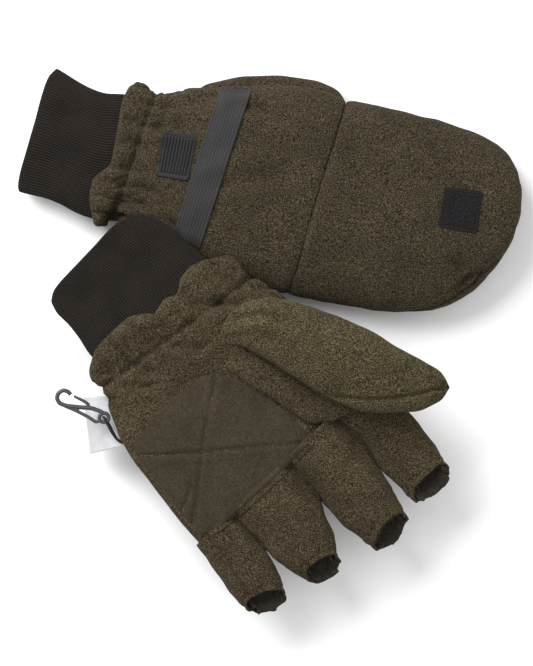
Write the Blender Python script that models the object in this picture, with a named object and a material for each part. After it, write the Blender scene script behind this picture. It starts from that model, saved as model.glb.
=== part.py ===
"""A pair of convertible flip-top mittens, lying as they are put down on a table.

The right mitten lies back up with its hood closed over the finger sleeves.
The left mitten lies palm up, with its hood folded back underneath it and its
knitted cuff resting on the right mitten's wrist.

Each mitten is designed in its own glove coordinates, in millimetres:
    u  from the mouth of the cuff towards the fingertips
    v  across the hand, towards the thumb
    w  from the palm towards the back of the hand
and is then laid into the common frame, in metres, +Z up.
"""

import math

import bmesh
import bpy
from mathutils import Matrix, Vector

MM = 0.001

# ---------------------------------------------------------------- layout
SHIFT_X, SHIFT_Y = -1.1, -1.075         # brings the pair's box over the origin
RIGHT_ORIGIN, RIGHT_ANGLE = (-131.4, 116.9), -9.0
LEFT_ORIGIN, LEFT_ANGLE = (-100.0, 45.6), -43.9
LEFT_TOP = 44.6                        # height of the left palm's outer face

# ---------------------------------------------------------------- fabric
SHELL = 1.6                            # outer fleece
GAP = 0.3
INSULATION = (1.9, 3.1)                # depth below the outer face
LINING = (3.4, 4.2)
KNIT = 1.8                             # double layer of rib knit
SUEDE = 0.9
ROUND = 2.5                            # how square the flattened sections are
AXIS_ABOVE = 0.3                       # hood hinge line above the back seam

AROUND = 10
STATIONS = [38, 46, 54, 60, 66, 67, 80, 95, 112, 130, 148, 1000]   # the last is the knuckle seam


def smooth(x):
    x = min(1.0, max(0.0, x))
    return x * x * (3 - 2 * x)


def table(rows, u):
    """A smooth curve through (u, value) rows."""
    if u <= rows[0][0]:
        return rows[0][1]
    for (a, va), (b, vb) in zip(rows, rows[1:]):
        if u <= b:
            return va + (vb - va) * smooth((u - a) / (b - a)) * 0.5 + (vb - va) * 0.5 * (u - a) / (b - a)
    return rows[-1][1]


def spline(points, t):
    """Catmull-Rom curve through plan points, t from 0 to 1."""
    n = len(points) - 1
    x = min(n - 1e-9, max(0.0, t * n))
    i = int(x)
    f = x - i
    p = [points[max(0, i - 1)], points[i], points[i + 1], points[min(n, i + 2)]]
    return tuple(
        0.5 * (2 * b + (c - a) * f + (2 * a - 5 * b + 4 * c - d) * f * f + (3 * b - a - 3 * c + d) * f ** 3)
        for a, b, c, d in zip(*p)
    )


class Mitten:
    def __init__(self, side, **facts):
        self.side = side
        self.__dict__.update(facts)
        a = math.radians(self.angle)
        self.U = (math.cos(a), math.sin(a))
        self.V = (-math.sin(a), math.cos(a))

    def world(self, u, v, w):
        x = self.origin[0] + u * self.U[0] + v * self.V[0] + SHIFT_X
        y = self.origin[1] + u * self.U[1] + v * self.V[1] + SHIFT_Y
        z = w if self.side == "right" else LEFT_TOP - w
        return Vector((x * MM, y * MM, z * MM))

    def hinge_u(self, v):
        """The slanted seam across the knuckles where the hood is sewn on."""
        return self.knuckle + self.slant * (v - self.hood_centre)

    # the flattened hand section: v and w for s from -1 to 1
    def section(self, u, s, depth, upper, lo=None, hi=None):
        lo = table(self.v_min, u) if lo is None else lo
        hi = table(self.v_max, u) if hi is None else hi
        x = math.sin(math.pi / 2 * s)
        c, b = (lo + hi) / 2, (hi - lo) / 2 - depth
        q = max(0.0, 1 - abs(x) ** ROUND) ** (1 / ROUND)
        v, face = c + b * x, c + (hi - lo) / 2 * x
        e = self.edge(u, face)
        if upper:
            return v, e + (table(self.top, u) - depth - e) * q
        return v, e - (e - (self.bottom(u, face) + depth)) * q

    def edge(self, u, v):
        return table(self.edge_w, u) + self.thumb_lift[0] * smooth((v + 5) / 35) * self.ramp(u)

    def bottom(self, u, v):
        base = table(self.low, u)
        return base + (self.thumb_lift[1] - base) * smooth((v + 4) / 12) * self.ramp(u) if self.thumb_lift[1] else base

    def lean(self, u, v):
        return self.slant * (v - self.hood_centre) * smooth((u - 80) / (self.knuckle - 80))

    def ramp(self, u):
        return smooth((u - 62) / 16)


# Right mitten: rounded, as it is when a hand has just left it.
R = Mitten(
    "right", origin=RIGHT_ORIGIN, angle=RIGHT_ANGLE, knuckle=165.0, slant=0.134, hood_centre=-13.0,
    v_min=[(36, -47), (46, -51), (60, -46), (75, -53), (100, -61), (130, -67), (165, -71)],
    v_max=[(36, 30), (46, 34), (60, 33), (75, 36), (100, 41), (130, 48), (165, 45)],
    top=[(36, 22), (46, 24), (60, 22), (75, 27), (100, 29.5), (130, 31), (165, 31.5)],
    low=[(36, 2.5), (46, 0.3), (60, 2.5), (75, 2.5), (165, 2.5)],
    edge_w=[(36, 12.3), (60, 12.3), (90, 14.5)], thumb_lift=(7.0, 16.0),
    cuff_min=[(-7, -37), (10, -38), (30, -41), (44, -43), (58, -42)],
    cuff_max=[(-7, 36), (10, 33), (30, 27), (44, 28), (58, 28)],
    cuff_w=(5.5, 19.0), hem_u=38.0,
)
# Left mitten: pressed flatter, with its fingers spread.
L = Mitten(
    "left", origin=LEFT_ORIGIN, angle=LEFT_ANGLE, knuckle=164.5, slant=0.061, hood_centre=-9.0,
    v_min=[(36, -46), (46, -51), (60, -51), (75, -60), (100, -67), (127, -73), (165, -77.5)],
    v_max=[(36, 44), (46, 50), (60, 51), (75, 56), (100, 58), (127, 59), (165, 59)],
    top=[(36, 20), (46, 21.5), (60, 17.8), (75, 16.5), (100, 17.0), (127, 20.5), (165, 22)],
    low=[(36, 2), (46, 0.5), (60, 2.5), (75, 1), (100, 0), (165, 0)],
    edge_w=[(36, 11.0), (165, 11.0)], thumb_lift=(0.0, None),
    cuff_min=[(-3, -32), (12, -34), (30, -38), (44, -42), (58, -43)],
    cuff_max=[(-3, 32), (12, 33), (30, 35), (44, 39), (58, 42)],
    cuff_w=(4.5, 15.4), hem_u=38.0,
)

R.hood_outline = [(R.hinge_u(45), 45), (182, 45), (192, 44), (209, 42.5), (227, 41), (249, 37.5), (265, 31), (275, 21), (280, 8), (280.5, -8),
                  (277, -24), (270, -40), (260, -54), (247, -63.5), (233, -69), (218, -72), (200, -73), (186, -73), (172, -72), (R.hinge_u(-71), -71)]
L.hood_outline = [(L.hinge_u(59), 59), (180, 62), (192, 62.5), (210, 60), (230, 53), (248, 41.5), (261, 26), (269, 9), (272, -10), (270, -28),
                  (264, -46), (254, -61), (240, -73), (224, -80), (208, -83.5), (192, -83.5), (176, -81.5), (L.hinge_u(-77.5), -77.5)]

# ---------------------------------------------------------------- building
MATERIALS = {
    "fleece": ((0.072, 0.058, 0.034), 0.95, 0.0),
    "lining": ((0.045, 0.037, 0.024), 0.95, 0.0),
    "insulation": ((0.75, 0.75, 0.72), 0.9, 0.0),
    "suede": ((0.088, 0.072, 0.046), 0.9, 0.0),
    "knit": ((0.026, 0.021, 0.018), 0.95, 0.0),
    "elastic": ((0.055, 0.055, 0.057), 0.8, 0.0),
    "fastener": ((0.02, 0.018, 0.022), 0.85, 0.0),
    "clip_plastic": ((0.05, 0.053, 0.056), 0.4, 0.0),
    "label": ((0.75, 0.75, 0.75), 0.7, 0.0),
}


def material(slot):
    found = bpy.data.materials.get(slot)
    if found:
        return found
    colour, rough, metal = MATERIALS[slot]
    m = bpy.data.materials.new(slot)
    m.use_nodes = True
    b = m.node_tree.nodes["Principled BSDF"]
    b.inputs["Base Color"].default_value = (*colour, 1)
    b.inputs["Roughness"].default_value = rough
    b.inputs["Metallic"].default_value = metal
    return m


def finish(name, bm, slot, pivot=Vector((0, 0, 0)), sharp=35):
    mesh = bpy.data.meshes.new(name)
    bmesh.ops.translate(bm, verts=bm.verts, vec=-pivot)
    bm.to_mesh(mesh)
    bm.free()
    mesh.shade_smooth()
    mesh.set_sharp_from_angle(angle=math.radians(sharp))
    mesh.materials.append(material(slot))
    obj = bpy.data.objects.new(name, mesh)
    bpy.context.scene.collection.objects.link(obj)
    obj.location = pivot
    return obj


def orient(bm, faces=None):
    bmesh.ops.recalc_face_normals(bm, faces=faces or bm.faces)


def quad(bm, corners):
    """Two triangles, split the same way in every layer so that nested layers keep their gap."""
    keys = [c.co.x + 0.25 * c.co.y for c in corners]
    k = keys.index(min(keys)) % 2
    a, b, c, d = corners[k:] + corners[:k]
    bm.faces.new((a, b, c))
    bm.faces.new((a, c, d))


def slab(outer, inner, wrap=False):
    """A closed sheet between two grids of points, rows by columns; wrap joins the last column to the first."""
    bm = bmesh.new()
    rows, cols = len(outer), len(outer[0])
    o = [[bm.verts.new(p) for p in row] for row in outer]
    n = [[bm.verts.new(p) for p in row] for row in inner]
    last = cols if wrap else cols - 1
    for i in range(rows - 1):
        for j in range(last):
            k = (j + 1) % cols
            quad(bm, [o[i][j], o[i][k], o[i + 1][k], o[i + 1][j]])
            quad(bm, [n[i][j], n[i + 1][j], n[i + 1][k], n[i][k]])
    for j in range(last):
        k = (j + 1) % cols
        quad(bm, [o[0][j], n[0][j], n[0][k], o[0][k]])
        quad(bm, [o[-1][j], o[-1][k], n[-1][k], n[-1][j]])
    if not wrap:
        for i in range(rows - 1):
            quad(bm, [o[i][0], o[i + 1][0], n[i + 1][0], n[i][0]])
            quad(bm, [o[i][-1], n[i][-1], n[i + 1][-1], o[i + 1][-1]])
    orient(bm)
    return bm


def stations(m, first, last):
    return [min(u, m.knuckle - 0.15) for u in STATIONS if first <= u <= last]


def hand_grid(m, depth, upper, drop=0.0, around=AROUND):
    """Half of the hand's surface, from the hem to the slanted knuckle seam."""
    rows = []
    for at in stations(m, 38, 1000):
        row = []
        for j in range(around + 1):
            s = -1 + 2 * j / around
            v, w = m.section(at, s, depth, upper)
            row.append(m.world(at + m.lean(at, v), v, w - drop))
        rows.append(row)
    return rows


def hand_ring(m, first, last, depth, around=AROUND):
    """The hand's whole girth between two stations."""
    rows = []
    for at in stations(m, first, last):
        ring = []
        for upper in (True, False):
            for j in range(around):
                s = -1 + 2 * j / around
                v, w = m.section(at, s if upper else -s, depth, upper)
                ring.append(m.world(at + m.lean(at, v), v, w))
        rows.append(ring)
    return rows


def boolean(obj, cutter_bm, operation="DIFFERENCE"):
    """Cuts obj with a mesh and keeps the result."""
    mesh = bpy.data.meshes.new("cutter")
    cutter_bm.to_mesh(mesh)
    cutter_bm.free()
    cutter = bpy.data.objects.new(obj.name + "_cutter", mesh)
    bpy.context.scene.collection.objects.link(cutter)
    cutter.hide_render = True
    cutter.display_type = "WIRE"
    mod = obj.modifiers.new("cut", "BOOLEAN")
    mod.object = cutter
    mod.operation = operation
    mod.solver = "EXACT"
    return cutter


def cylinder(centre, axis, radius, length, sides=20):
    bm = bmesh.new()
    bmesh.ops.create_cone(bm, cap_ends=True, segments=sides, radius1=radius * MM, radius2=radius * MM, depth=length * MM)
    turn = Vector((0, 0, 1)).rotation_difference(Vector(axis).normalized()).to_matrix().to_4x4()
    bmesh.ops.transform(bm, matrix=Matrix.Translation(centre) @ turn, verts=bm.verts)
    return bm


# ---------------------------------------------------------------- hand
def build_hand(m):
    s = m.side
    finish(s + "_back_panel", slab(hand_grid(m, 0, True), hand_grid(m, SHELL, True)), "fleece")
    palm = finish(s + "_palm_panel", slab(hand_grid(m, 0, False, GAP), hand_grid(m, SHELL, False, GAP)), "fleece")
    pad = finish(s + "_insulation", slab(hand_ring(m, 67, 1000, INSULATION[0]), hand_ring(m, 67, 1000, INSULATION[1]), True), "insulation")
    lining = finish(s + "_lining", slab(hand_ring(m, 67, 1000, LINING[0]), hand_ring(m, 67, 1000, LINING[1]), True), "lining")
    finish(s + "_wrist_elastic", slab(hand_ring(m, 60, 66, 2.0), hand_ring(m, 60, 66, 2.9), True), "elastic")
    u, v = m.thumb_base
    for obj in (palm, pad, lining):
        boolean(obj, cylinder(m.world(u, v, m.thumb_gate), (0, 0, 1), 8.5, 18, 16))


def build_cuff(m):
    outer, inner = [], []
    lo, hi = m.cuff_w
    e = (lo + hi) / 2
    for i in range(7):
        u = m.cuff_min[0][0] + (57.5 - m.cuff_min[0][0]) * i / 6
        a, b = table(m.cuff_min, u), table(m.cuff_max, u)
        rows = []
        for depth in (0, KNIT):
            ring = []
            for j in range(20):
                t = math.tau * j / 20
                cx, cw = math.cos(t), math.sin(t)
                x = math.copysign(abs(cx) ** 0.8, cx)
                y = math.copysign(abs(cw) ** 0.8, cw)
                bow = 2.5 * (1 - x * x) * (1 - smooth(u / 30))
                ring.append(m.world(u + bow, (a + b) / 2 + ((b - a) / 2 - depth) * x, e + ((hi - lo) / 2 - depth) * y))
            rows.append(ring)
        outer.append(rows[0])
        inner.append(rows[1])
    finish(m.side + "_knit_cuff", slab(outer, inner, True), "knit")


# ---------------------------------------------------------------- hood
def hood_point(m, a, r, depth, upper):
    """A point of the hood: a runs round its rim from the thumb side to the little finger side, r from the knuckle seam out to the rim."""
    tu, tv = m.slant / math.hypot(m.slant, 1), 1 / math.hypot(m.slant, 1)
    first, last = m.hood_outline[0], m.hood_outline[-1]
    half = math.hypot(first[0] - last[0], first[1] - last[1]) / 2
    mid = (m.hinge_u((first[1] + last[1]) / 2), (first[1] + last[1]) / 2)
    here = spline(m.hood_outline, a)
    ahead, behind = spline(m.hood_outline, min(1, a + 0.01)), spline(m.hood_outline, max(0, a - 0.01))
    du, dv = ahead[0] - behind[0], ahead[1] - behind[1]
    size = math.hypot(du, dv)
    nu, nv = -dv / size, du / size
    k = smooth(min(a, 1 - a) / 0.06)
    sign = 1 if a < 0.5 else -1
    nu, nv = k * nu + (1 - k) * sign * tu, k * nv + (1 - k) * sign * tv
    rim = (here[0] - nu * depth, here[1] - nv * depth)
    keep = 0.82
    x = keep * math.sin(math.pi * (0.5 - a))
    start = (mid[0] + tu * (half - depth) * x, mid[1] + tv * (half - depth) * x)
    rho = abs(x) + (1 - abs(x)) * r
    q = max(0.0, 1 - rho ** m.hood_round) ** (1 / m.hood_round)
    u, v = start[0] + (rim[0] - start[0]) * r, start[1] + (rim[1] - start[1]) * r
    e = m.hood_edge(u, v)
    if upper:
        w = e + (m.hood_top - depth - e) * q
    else:
        w = max(depth + GAP, e - (e + 0.8 - depth) * q)
    return u + 0.15, v, w


R.hood_edge = lambda u, v: 14.5 + 7.0 * smooth((v + 5) / 35) * (1 - smooth((u - 172) / 22))
L.hood_edge = lambda u, v: 11.0
R.hood_top, L.hood_top = 31.5, 22.0
R.hood_round, L.hood_round = 2.5, 3.6
HOOD_OUT = [0, 0.2, 0.45, 0.68, 0.86, 0.96, 1.0]


def flip(m, p):
    """Folds a point of the left hood back about its hinge line, as it lies at rest."""
    if m.side == "right":
        return p
    u, v, w = p
    tu, tv = m.slant / math.hypot(m.slant, 1), 1 / math.hypot(m.slant, 1)
    du, dv = u - m.hinge_u(m.hood_centre), v - m.hood_centre
    along = du * tu + dv * tv
    across = du * tv - dv * tu
    return (m.hinge_u(m.hood_centre) + along * tu - across * tv, m.hood_centre + along * tv + across * tu,
            2 * (m.hood_top + AXIS_ABOVE) - w)


def hinge_pivot(m):
    return m.world(m.knuckle, m.hood_centre, m.hood_top + AXIS_ABOVE)


def build_hood(m):
    s, pivot = m.side, hinge_pivot(m)
    count = 17

    def grid(depth, upper, low=0.0, drop=0.0):
        rows = []
        for i in range(count + 1):
            a = i / count
            a = 0.5 - 0.5 * math.cos(math.pi * a) * (0.55 + 0.45 * abs(math.cos(math.pi * a)))
            near = (0.20 + 0.5 * abs(2 * a - 1) ** 3) if low else 0.0
            row = []
            for r in HOOD_OUT:
                u, v, w = hood_point(m, a, near + (1 - near) * r, depth, upper)
                row.append(m.world(*flip(m, (u, v, w - drop))))
            rows.append(row)
        return rows

    finish(s + "_hood_back", slab(grid(0, True), grid(SHELL, True)), "fleece", pivot)
    finish(s + "_hood_lining", slab(grid(SHELL + GAP, True), grid(SHELL + GAP + 1.0, True)), "lining", pivot)
    finish(s + "_hood_palm_flap", slab(grid(0, False, 1, GAP), grid(SHELL, False, 1, GAP)), "fleece", pivot)


# ---------------------------------------------------------------- fingers
def build_finger(m, name, v, tip, half_base, half_tip, w, high):
    """A half-length finger sleeve, open at the tip, sewn to the knuckle seam along its root."""
    base = (m.hinge_u(v) + 0.2, v)
    du, dv = tip[0] - base[0], tip[1] - base[1]
    size = math.hypot(du, dv)
    du, dv = du / size, dv / size
    outer, inner = [], []
    for i in range(5):
        f = i / 4
        half = half_base + (half_tip - half_base) * smooth(f)
        tall = high[0] + (high[1] - high[0]) * f
        turn = smooth(f * 1.3)
        au, av = m.slant * (1 - turn) - dv * turn, (1 - turn) + du * turn
        for rows, depth in ((outer, 0), (inner, 1.9)):
            ring = []
            for j in range(12):
                t = math.tau * j / 12
                x = math.copysign(abs(math.cos(t)) ** 0.75, math.cos(t)) * (half - depth)
                y = math.copysign(abs(math.sin(t)) ** 0.75, math.sin(t)) * (tall - depth)
                ring.append(m.world(base[0] + du * size * f + au * x, base[1] + dv * size * f + av * x, w + y))
            rows.append(ring)
    pivot = m.world(m.hinge_u(v), v, w - high[0] - 0.2) if m.side == "left" else Vector((0, 0, 0))
    finish(f"{m.side}_{name}_finger_sleeve", slab(outer, inner, True), "fleece", pivot)


# ---------------------------------------------------------------- thumb
def build_thumb(m):
    """A closed thumb sleeve lying against the palm, open to the hand through a round hole at its root."""
    (u0, v0), (u1, v1) = m.thumb_line
    size = math.hypot(u1 - u0, v1 - v0)
    du, dv = (u1 - u0) / size, (v1 - v0) / size
    places = [0.0, 0.03, 0.1, 0.22, 0.4, 0.6, 0.78, 0.9, 0.97, 1.0]
    bm = bmesh.new()
    shells = []
    for depth in (0, SHELL + 1.0):
        rings = []
        for k, f in enumerate(places):
            g = depth / size + f * (1 - 2 * depth / size)
            fat = max(0.0, 1 - abs(2 * f - 1) ** 4.0) ** 0.5
            half = (table(m.thumb_half, f) - depth) * fat
            tall = (m.thumb_tall - depth) * max(0.0, 1 - abs(2 * f - 1) ** 4.0) ** 0.5
            c = (u0 + du * size * g, v0 + dv * size * g)
            if k in (0, len(places) - 1):
                rings.append([bm.verts.new(m.world(*c, m.thumb_w))])
                continue
            ring = []
            for j in range(14):
                t = math.tau * j / 14
                x, y = math.cos(t) * half, math.sin(t) * tall
                ring.append(bm.verts.new(m.world(c[0] - dv * x, c[1] + du * x, m.thumb_w + y)))
            rings.append(ring)
        faces = []
        for a, b in zip(rings, rings[1:]):
            for j in range(14):
                k = (j + 1) % 14
                if len(a) == 1:
                    faces.append(bm.faces.new((a[0], b[j], b[k])))
                elif len(b) == 1:
                    faces.append(bm.faces.new((a[j], b[0], a[k])))
                else:
                    faces.append(bm.faces.new((a[j], b[j], b[k], a[k])))
        shells.append(faces)
    for n, faces in enumerate(shells):
        orient(bm, faces)
        if n:
            bmesh.ops.reverse_faces(bm, faces=faces)
    u, v = m.thumb_base
    pivot = m.world(u, v, m.thumb_w)
    obj = finish(m.side + "_thumb_sleeve", bm, "fleece", pivot)
    up = m.thumb_tall
    boolean(obj, cylinder(m.world(u, v, m.thumb_w + up), (0, 0, 1), 8.0, 2 * up, 16))


R.thumb_line, R.thumb_w, R.thumb_tall, R.thumb_base, R.thumb_gate = ((80, 25), (170, 35)), 7.6, 7.6, (99, 27), 18.0
R.thumb_half = [(0, 15), (0.5, 14.5), (1, 12)]
L.thumb_line, L.thumb_w, L.thumb_tall, L.thumb_base, L.thumb_gate = ((78, 16), (199, 86.5)), -10.2, 8.0, (97, 27), 0.0
L.thumb_half = [(0, 19), (0.5, 21), (0.8, 18), (1, 14)]


# ---------------------------------------------------------------- surface pieces
def on_hand(m, u, v, lift, upper):
    """A point lifted off the hand's outer face at plan place u, v."""
    at = u
    for _ in range(8):
        at = u - m.lean(at, v)
    near = [x for x in stations(m, 38, 1000)]
    below, above = max(x for x in near if x <= at), min(x for x in near if x >= at)
    heights = []
    for station in (below, above):
        lo, hi = table(m.v_min, station), table(m.v_max, station)
        x = max(-0.995, min(0.995, (v - (lo + hi) / 2) / ((hi - lo) / 2)))
        heights.append(m.section(station, math.asin(x) / (math.pi / 2), 0, upper)[1])
    f = (at - below) / (above - below) if above > below else 0
    w = heights[0] + (heights[1] - heights[0]) * f
    return m.world(u, v, w + (lift if upper else -lift - GAP))


def quad_grid(corners, n, place):
    """Rows of points over a four-cornered patch, its corners given in order round it."""
    a, b, c, d = corners
    rows = []
    for i in range(n + 1):
        f = i / n
        row = []
        for j in range(n + 1):
            g = j / n
            u = (a[0] * (1 - g) + b[0] * g) * (1 - f) + (d[0] * (1 - g) + c[0] * g) * f
            v = (a[1] * (1 - g) + b[1] * g) * (1 - f) + (d[1] * (1 - g) + c[1] * g) * f
            row.append(place(u, v))
        rows.append(row)
    return rows


def patch(name, m, corners, base, thick, upper, slot, n=6):
    finish(
        m.side + name,
        slab(quad_grid(corners, n, lambda u, v: on_hand(m, u, v, base + thick, upper)),
             quad_grid(corners, n, lambda u, v: on_hand(m, u, v, base, upper))), slot)


def on_hood(m, u, v, lift):
    """A point lifted off the closed hood's back at plan place u, v, laid back where the hood lies."""
    best = None
    for i in range(41):
        for j in range(41):
            a, r = 0.2 + 0.6 * i / 40, 0.3 + 0.65 * j / 40
            p = hood_point(m, a, r, 0, True)
            d = (p[0] - u) ** 2 + (p[1] - v) ** 2
            if best is None or d < best[0]:
                best = (d, a, r, p)
    return m.world(*flip(m, (u, v, best[3][2] + lift)))


def build_strap(m):
    """Flat elastic held at both side seams, lying over the back of the hand."""
    (ua, va), (ub, vb) = m.strap
    half = 8.0
    outer, inner = [], []
    count = 12
    du, dv = ub - ua, vb - va
    size = math.hypot(du, dv)
    du, dv = du / size, dv / size
    for i in range(count + 1):
        f = i / count
        for rows, lift in ((outer, 3.3), (inner, 2.2)):
            row = []
            for side in (-1, 0, 1):
                u, v = ua + (ub - ua) * f - dv * half * side, va + (vb - va) * f + du * half * side
                row.append(on_hand(m, u, v, lift, True))
            rows.append(row)
    finish(m.side + "_stowage_strap", slab(outer, inner), "elastic")


R.strap = ((94.5, -54), (107.5, 34))
L.strap = ((96, -58), (106, 50))


def square(cu, cv, half, turn):
    c, s = math.cos(math.radians(turn)), math.sin(math.radians(turn))
    return [(cu + half * (c * x - s * y), cv + half * (s * x + c * y)) for x, y in ((-1, -1), (-1, 1), (1, 1), (1, -1))]


def build_trim(m):
    # reinforcing patch on the palm, a tall diamond with its long point towards the index finger
    if m.side == "right":
        suede = [(80, -45), (88, -8), (157, -8), (154, -60)]
    else:
        suede = [(81, -52), (92, 15), (160, 31), (158, -66)]
    patch("_palm_patch", m, suede, 0.8, SUEDE, False, "suede", 7)
    patch("_hook_patch", m, square(m.hook_at[0], m.hook_at[1], 10.5, 4), 0.4, 1.3, True, "fastener", 4)
    cu, cv = m.loop_at
    corners = square(cu, cv, 10.5, -3)
    outer = quad_grid(corners, 4, lambda u, v: on_hood(m, u, v, GAP + 1.3))
    inner = quad_grid(corners, 4, lambda u, v: on_hood(m, u, v, GAP))
    finish(m.side + "_loop_patch", slab(outer, inner), "fastener", hinge_pivot(m))


R.hook_at, R.loop_at = (81.5, -3.4), (247.3, -8.6)
L.hook_at, L.loop_at = (78.5, 4.0), (240.0, -14.0)


# ---------------------------------------------------------------- snap hook
def tube(name, points, radius, slot, pivot, sides=8, closed=False, flat=1.0):
    """A rod along plan points given in world millimetres."""
    pts = [Vector(p) * MM for p in points]
    n = len(pts)
    bm = bmesh.new()
    rings = []
    for i, p in enumerate(pts):
        before = pts[i - 1] if (i or closed) else p
        after = pts[(i + 1) % n] if (i < n - 1 or closed) else p
        d = (after - before).normalized()
        side = Vector((0, 0, 1)).cross(d).normalized()
        up = d.cross(side)
        rings.append([bm.verts.new(p + radius * MM * (math.cos(math.tau * j / sides) * side + flat * math.sin(math.tau * j / sides) * up)) for j in range(sides)])
    for i in range(n if closed else n - 1):
        a, b = rings[i], rings[(i + 1) % n]
        for j in range(sides):
            k = (j + 1) % sides
            bm.faces.new((a[j], a[k], b[k], b[j]))
    if not closed:
        bm.faces.new(rings[0])
        bm.faces.new(rings[-1])
    orient(bm)
    return finish(name, bm, slot, pivot)


def arc(cx, cy, rx, ry, a0, a1, n, z, turn=0.0):
    out = []
    for i in range(n):
        t = math.radians(a0 + (a1 - a0) * i / (n - 1))
        x, y = rx * math.cos(t), ry * math.sin(t)
        c, s = math.cos(math.radians(turn)), math.sin(math.radians(turn))
        out.append((cx + c * x - s * y, cy + s * x + c * y, z))
    return out


def plan(x, y, z):
    return (x + SHIFT_X, y + SHIFT_Y, z)


HOOK_Z = 36.0
EYE = plan(-92.1, -48.0, HOOK_Z)            # centre of the hook's eye
GATE_ROOT = plan(-101.4, -41.2, HOOK_Z)     # where the sprung gate bends
LOOP_ROOT = plan(-86.6, -58.4, 33.4)        # where the loop leaves the side seam
LABEL_WIDTH = 22.0


def through(points, n):
    return [spline(points, i / (n - 1)) for i in range(n)]


def join(obj, others):
    """Moulds further solids into obj."""
    for k, other in enumerate(others):
        other.hide_render = True
        other.display_type = "WIRE"
        other.name = f"{obj.name}_limb_{k + 1}"
        mod = obj.modifiers.new(f"limb_{k + 1}", "BOOLEAN")
        mod.object = other
        mod.operation = "UNION"
        mod.solver = "EXACT"


def build_clip():
    """A moulded snap hook on a cord loop, and a woven label, both caught in the left mitten's side seam."""
    ex, ey, z = EYE
    pivot = Vector(EYE) * MM
    hook = through([plan(-110.6, -35.3, z), plan(-112.4, -33.2, z), plan(-115.2, -32.3, z), plan(-118.0, -34.0, z), plan(-118.9, -37.0, z),
                    plan(-117.4, -39.8, z), plan(-113.8, -41.2, z), plan(-106.5, -42.0, z), plan(-99.0, -42.6, z), plan(-93.6, -44.6, z), plan(-92.4, -45.6, z)], 24)
    body = tube("left_snap_hook_body", hook, 1.15, "clip_plastic", pivot)
    ring = [(ex + 2.65 * math.cos(math.tau * k / 14), ey + 2.65 * math.sin(math.tau * k / 14), z) for k in range(14)]
    eye = tube("eye", ring, 1.2, "clip_plastic", pivot, closed=True)
    brace = tube("brace", through([plan(-114.6, -41.2, z), plan(-108, -44.0, z), plan(-101, -47.6, z), plan(-96.6, -50.6, z), plan(-94.3, -49.6, z)], 8),
                 1.05, "clip_plastic", pivot)
    join(body, [eye, brace])
    gate = through([plan(-101.6, -39.7, z), plan(-105.4, -37.6, z), plan(-108.6, -35.9, z)], 6)
    tube("left_snap_gate", gate, 0.95, "clip_plastic", Vector(GATE_ROOT) * MM)
    rx, ry, rz = LOOP_ROOT
    cord = [(rx, ry, rz + 1.2), (rx - 3.4, ry - 0.3, rz + 1.9), (rx - 6.8, ry + 2.9, rz + 3.3), (rx - 8.2, ry + 7.2, z + 2.7), (ex - 1.9, ey + 0.3, z + 2.7),
            (ex, ey, z + 1.2), (ex, ey, z - 1.2), (ex - 1.9, ey + 0.3, z - 2.6), (rx - 8.0, ry + 7.0, z - 2.6), (rx - 6.6, ry + 2.8, rz + 0.4),
            (rx - 3.4, ry - 0.3, rz - 0.6), (rx, ry, rz - 0.9)]
    tube("left_hanger_loop", through(cord + [cord[0]], 37)[:-1], 0.65, "fastener", Vector((0, 0, 0)), 6, True)
    # the label hangs along the seam and droops outwards
    outer, inner = [], []
    n = 6
    for i in range(n + 1):
        f = i / n
        u = 61 + 30 * f
        v = table(L.v_min, u) - 0.9
        root = L.world(u, v, LEFT_TOP - 30.0)
        free = Vector(plan(-105.2 + 4.4 * f, -36.3 - 33.6 * f, 0)) * MM
        reach = (Vector((free.x, free.y, 0)) - Vector((root.x, root.y, 0))).length
        free.z = root.z - math.sqrt(max(0.0, (LABEL_WIDTH * MM) ** 2 - reach ** 2)) * 0.93
        for rows, lift in ((outer, 0.0), (inner, -0.5)):
            row = []
            for j in range(5):
                g = j / 4
                p = root.lerp(free, g)
                p.z += (0.0022 * math.sin(math.pi * g) + lift * MM)
                row.append(p)
            rows.append(row)
    finish("left_care_label", slab(outer, inner), "label")


def clear_scene():
    for obj in list(bpy.data.objects):
        bpy.data.objects.remove(obj, do_unlink=True)


def main():
    clear_scene()
    for m in (R, L):
        build_hand(m)
        build_cuff(m)
        build_hood(m)
        build_thumb(m)
        build_strap(m)
        build_trim(m)
    for name, v, tip, half, end in (
        ("index", 26.0, (230, 22.0), 11.6, 10.0),
        ("middle", 0.8, (235, -2.5), 12.0, 10.8),
        ("ring", -25.0, (229, -27.5), 12.2, 11.0),
        ("little", -50.0, (215, -51.5), 11.2, 10.4),
    ):
        build_finger(R, name, v, tip, half, end, 15.2, (8.6, 7.8))
    for name, v, tip, half, end in (
        ("index", 40.0, (229, 35.0), 13.6, 10.2),
        ("middle", 9.0, (236, 6.0), 15.4, 11.5),
        ("ring", -24.5, (220, -33.0), 15.4, 11.0),
        ("little", -57.8, (205.0, -69.0), 14.0, 9.8),
    ):
        build_finger(L, name, v, tip, half, end, 10.0, (7.0, 6.4))
    build_clip()


main()
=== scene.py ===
import math
import bpy
import numpy as np
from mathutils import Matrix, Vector
from mathutils.bvhtree import BVHTree

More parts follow.
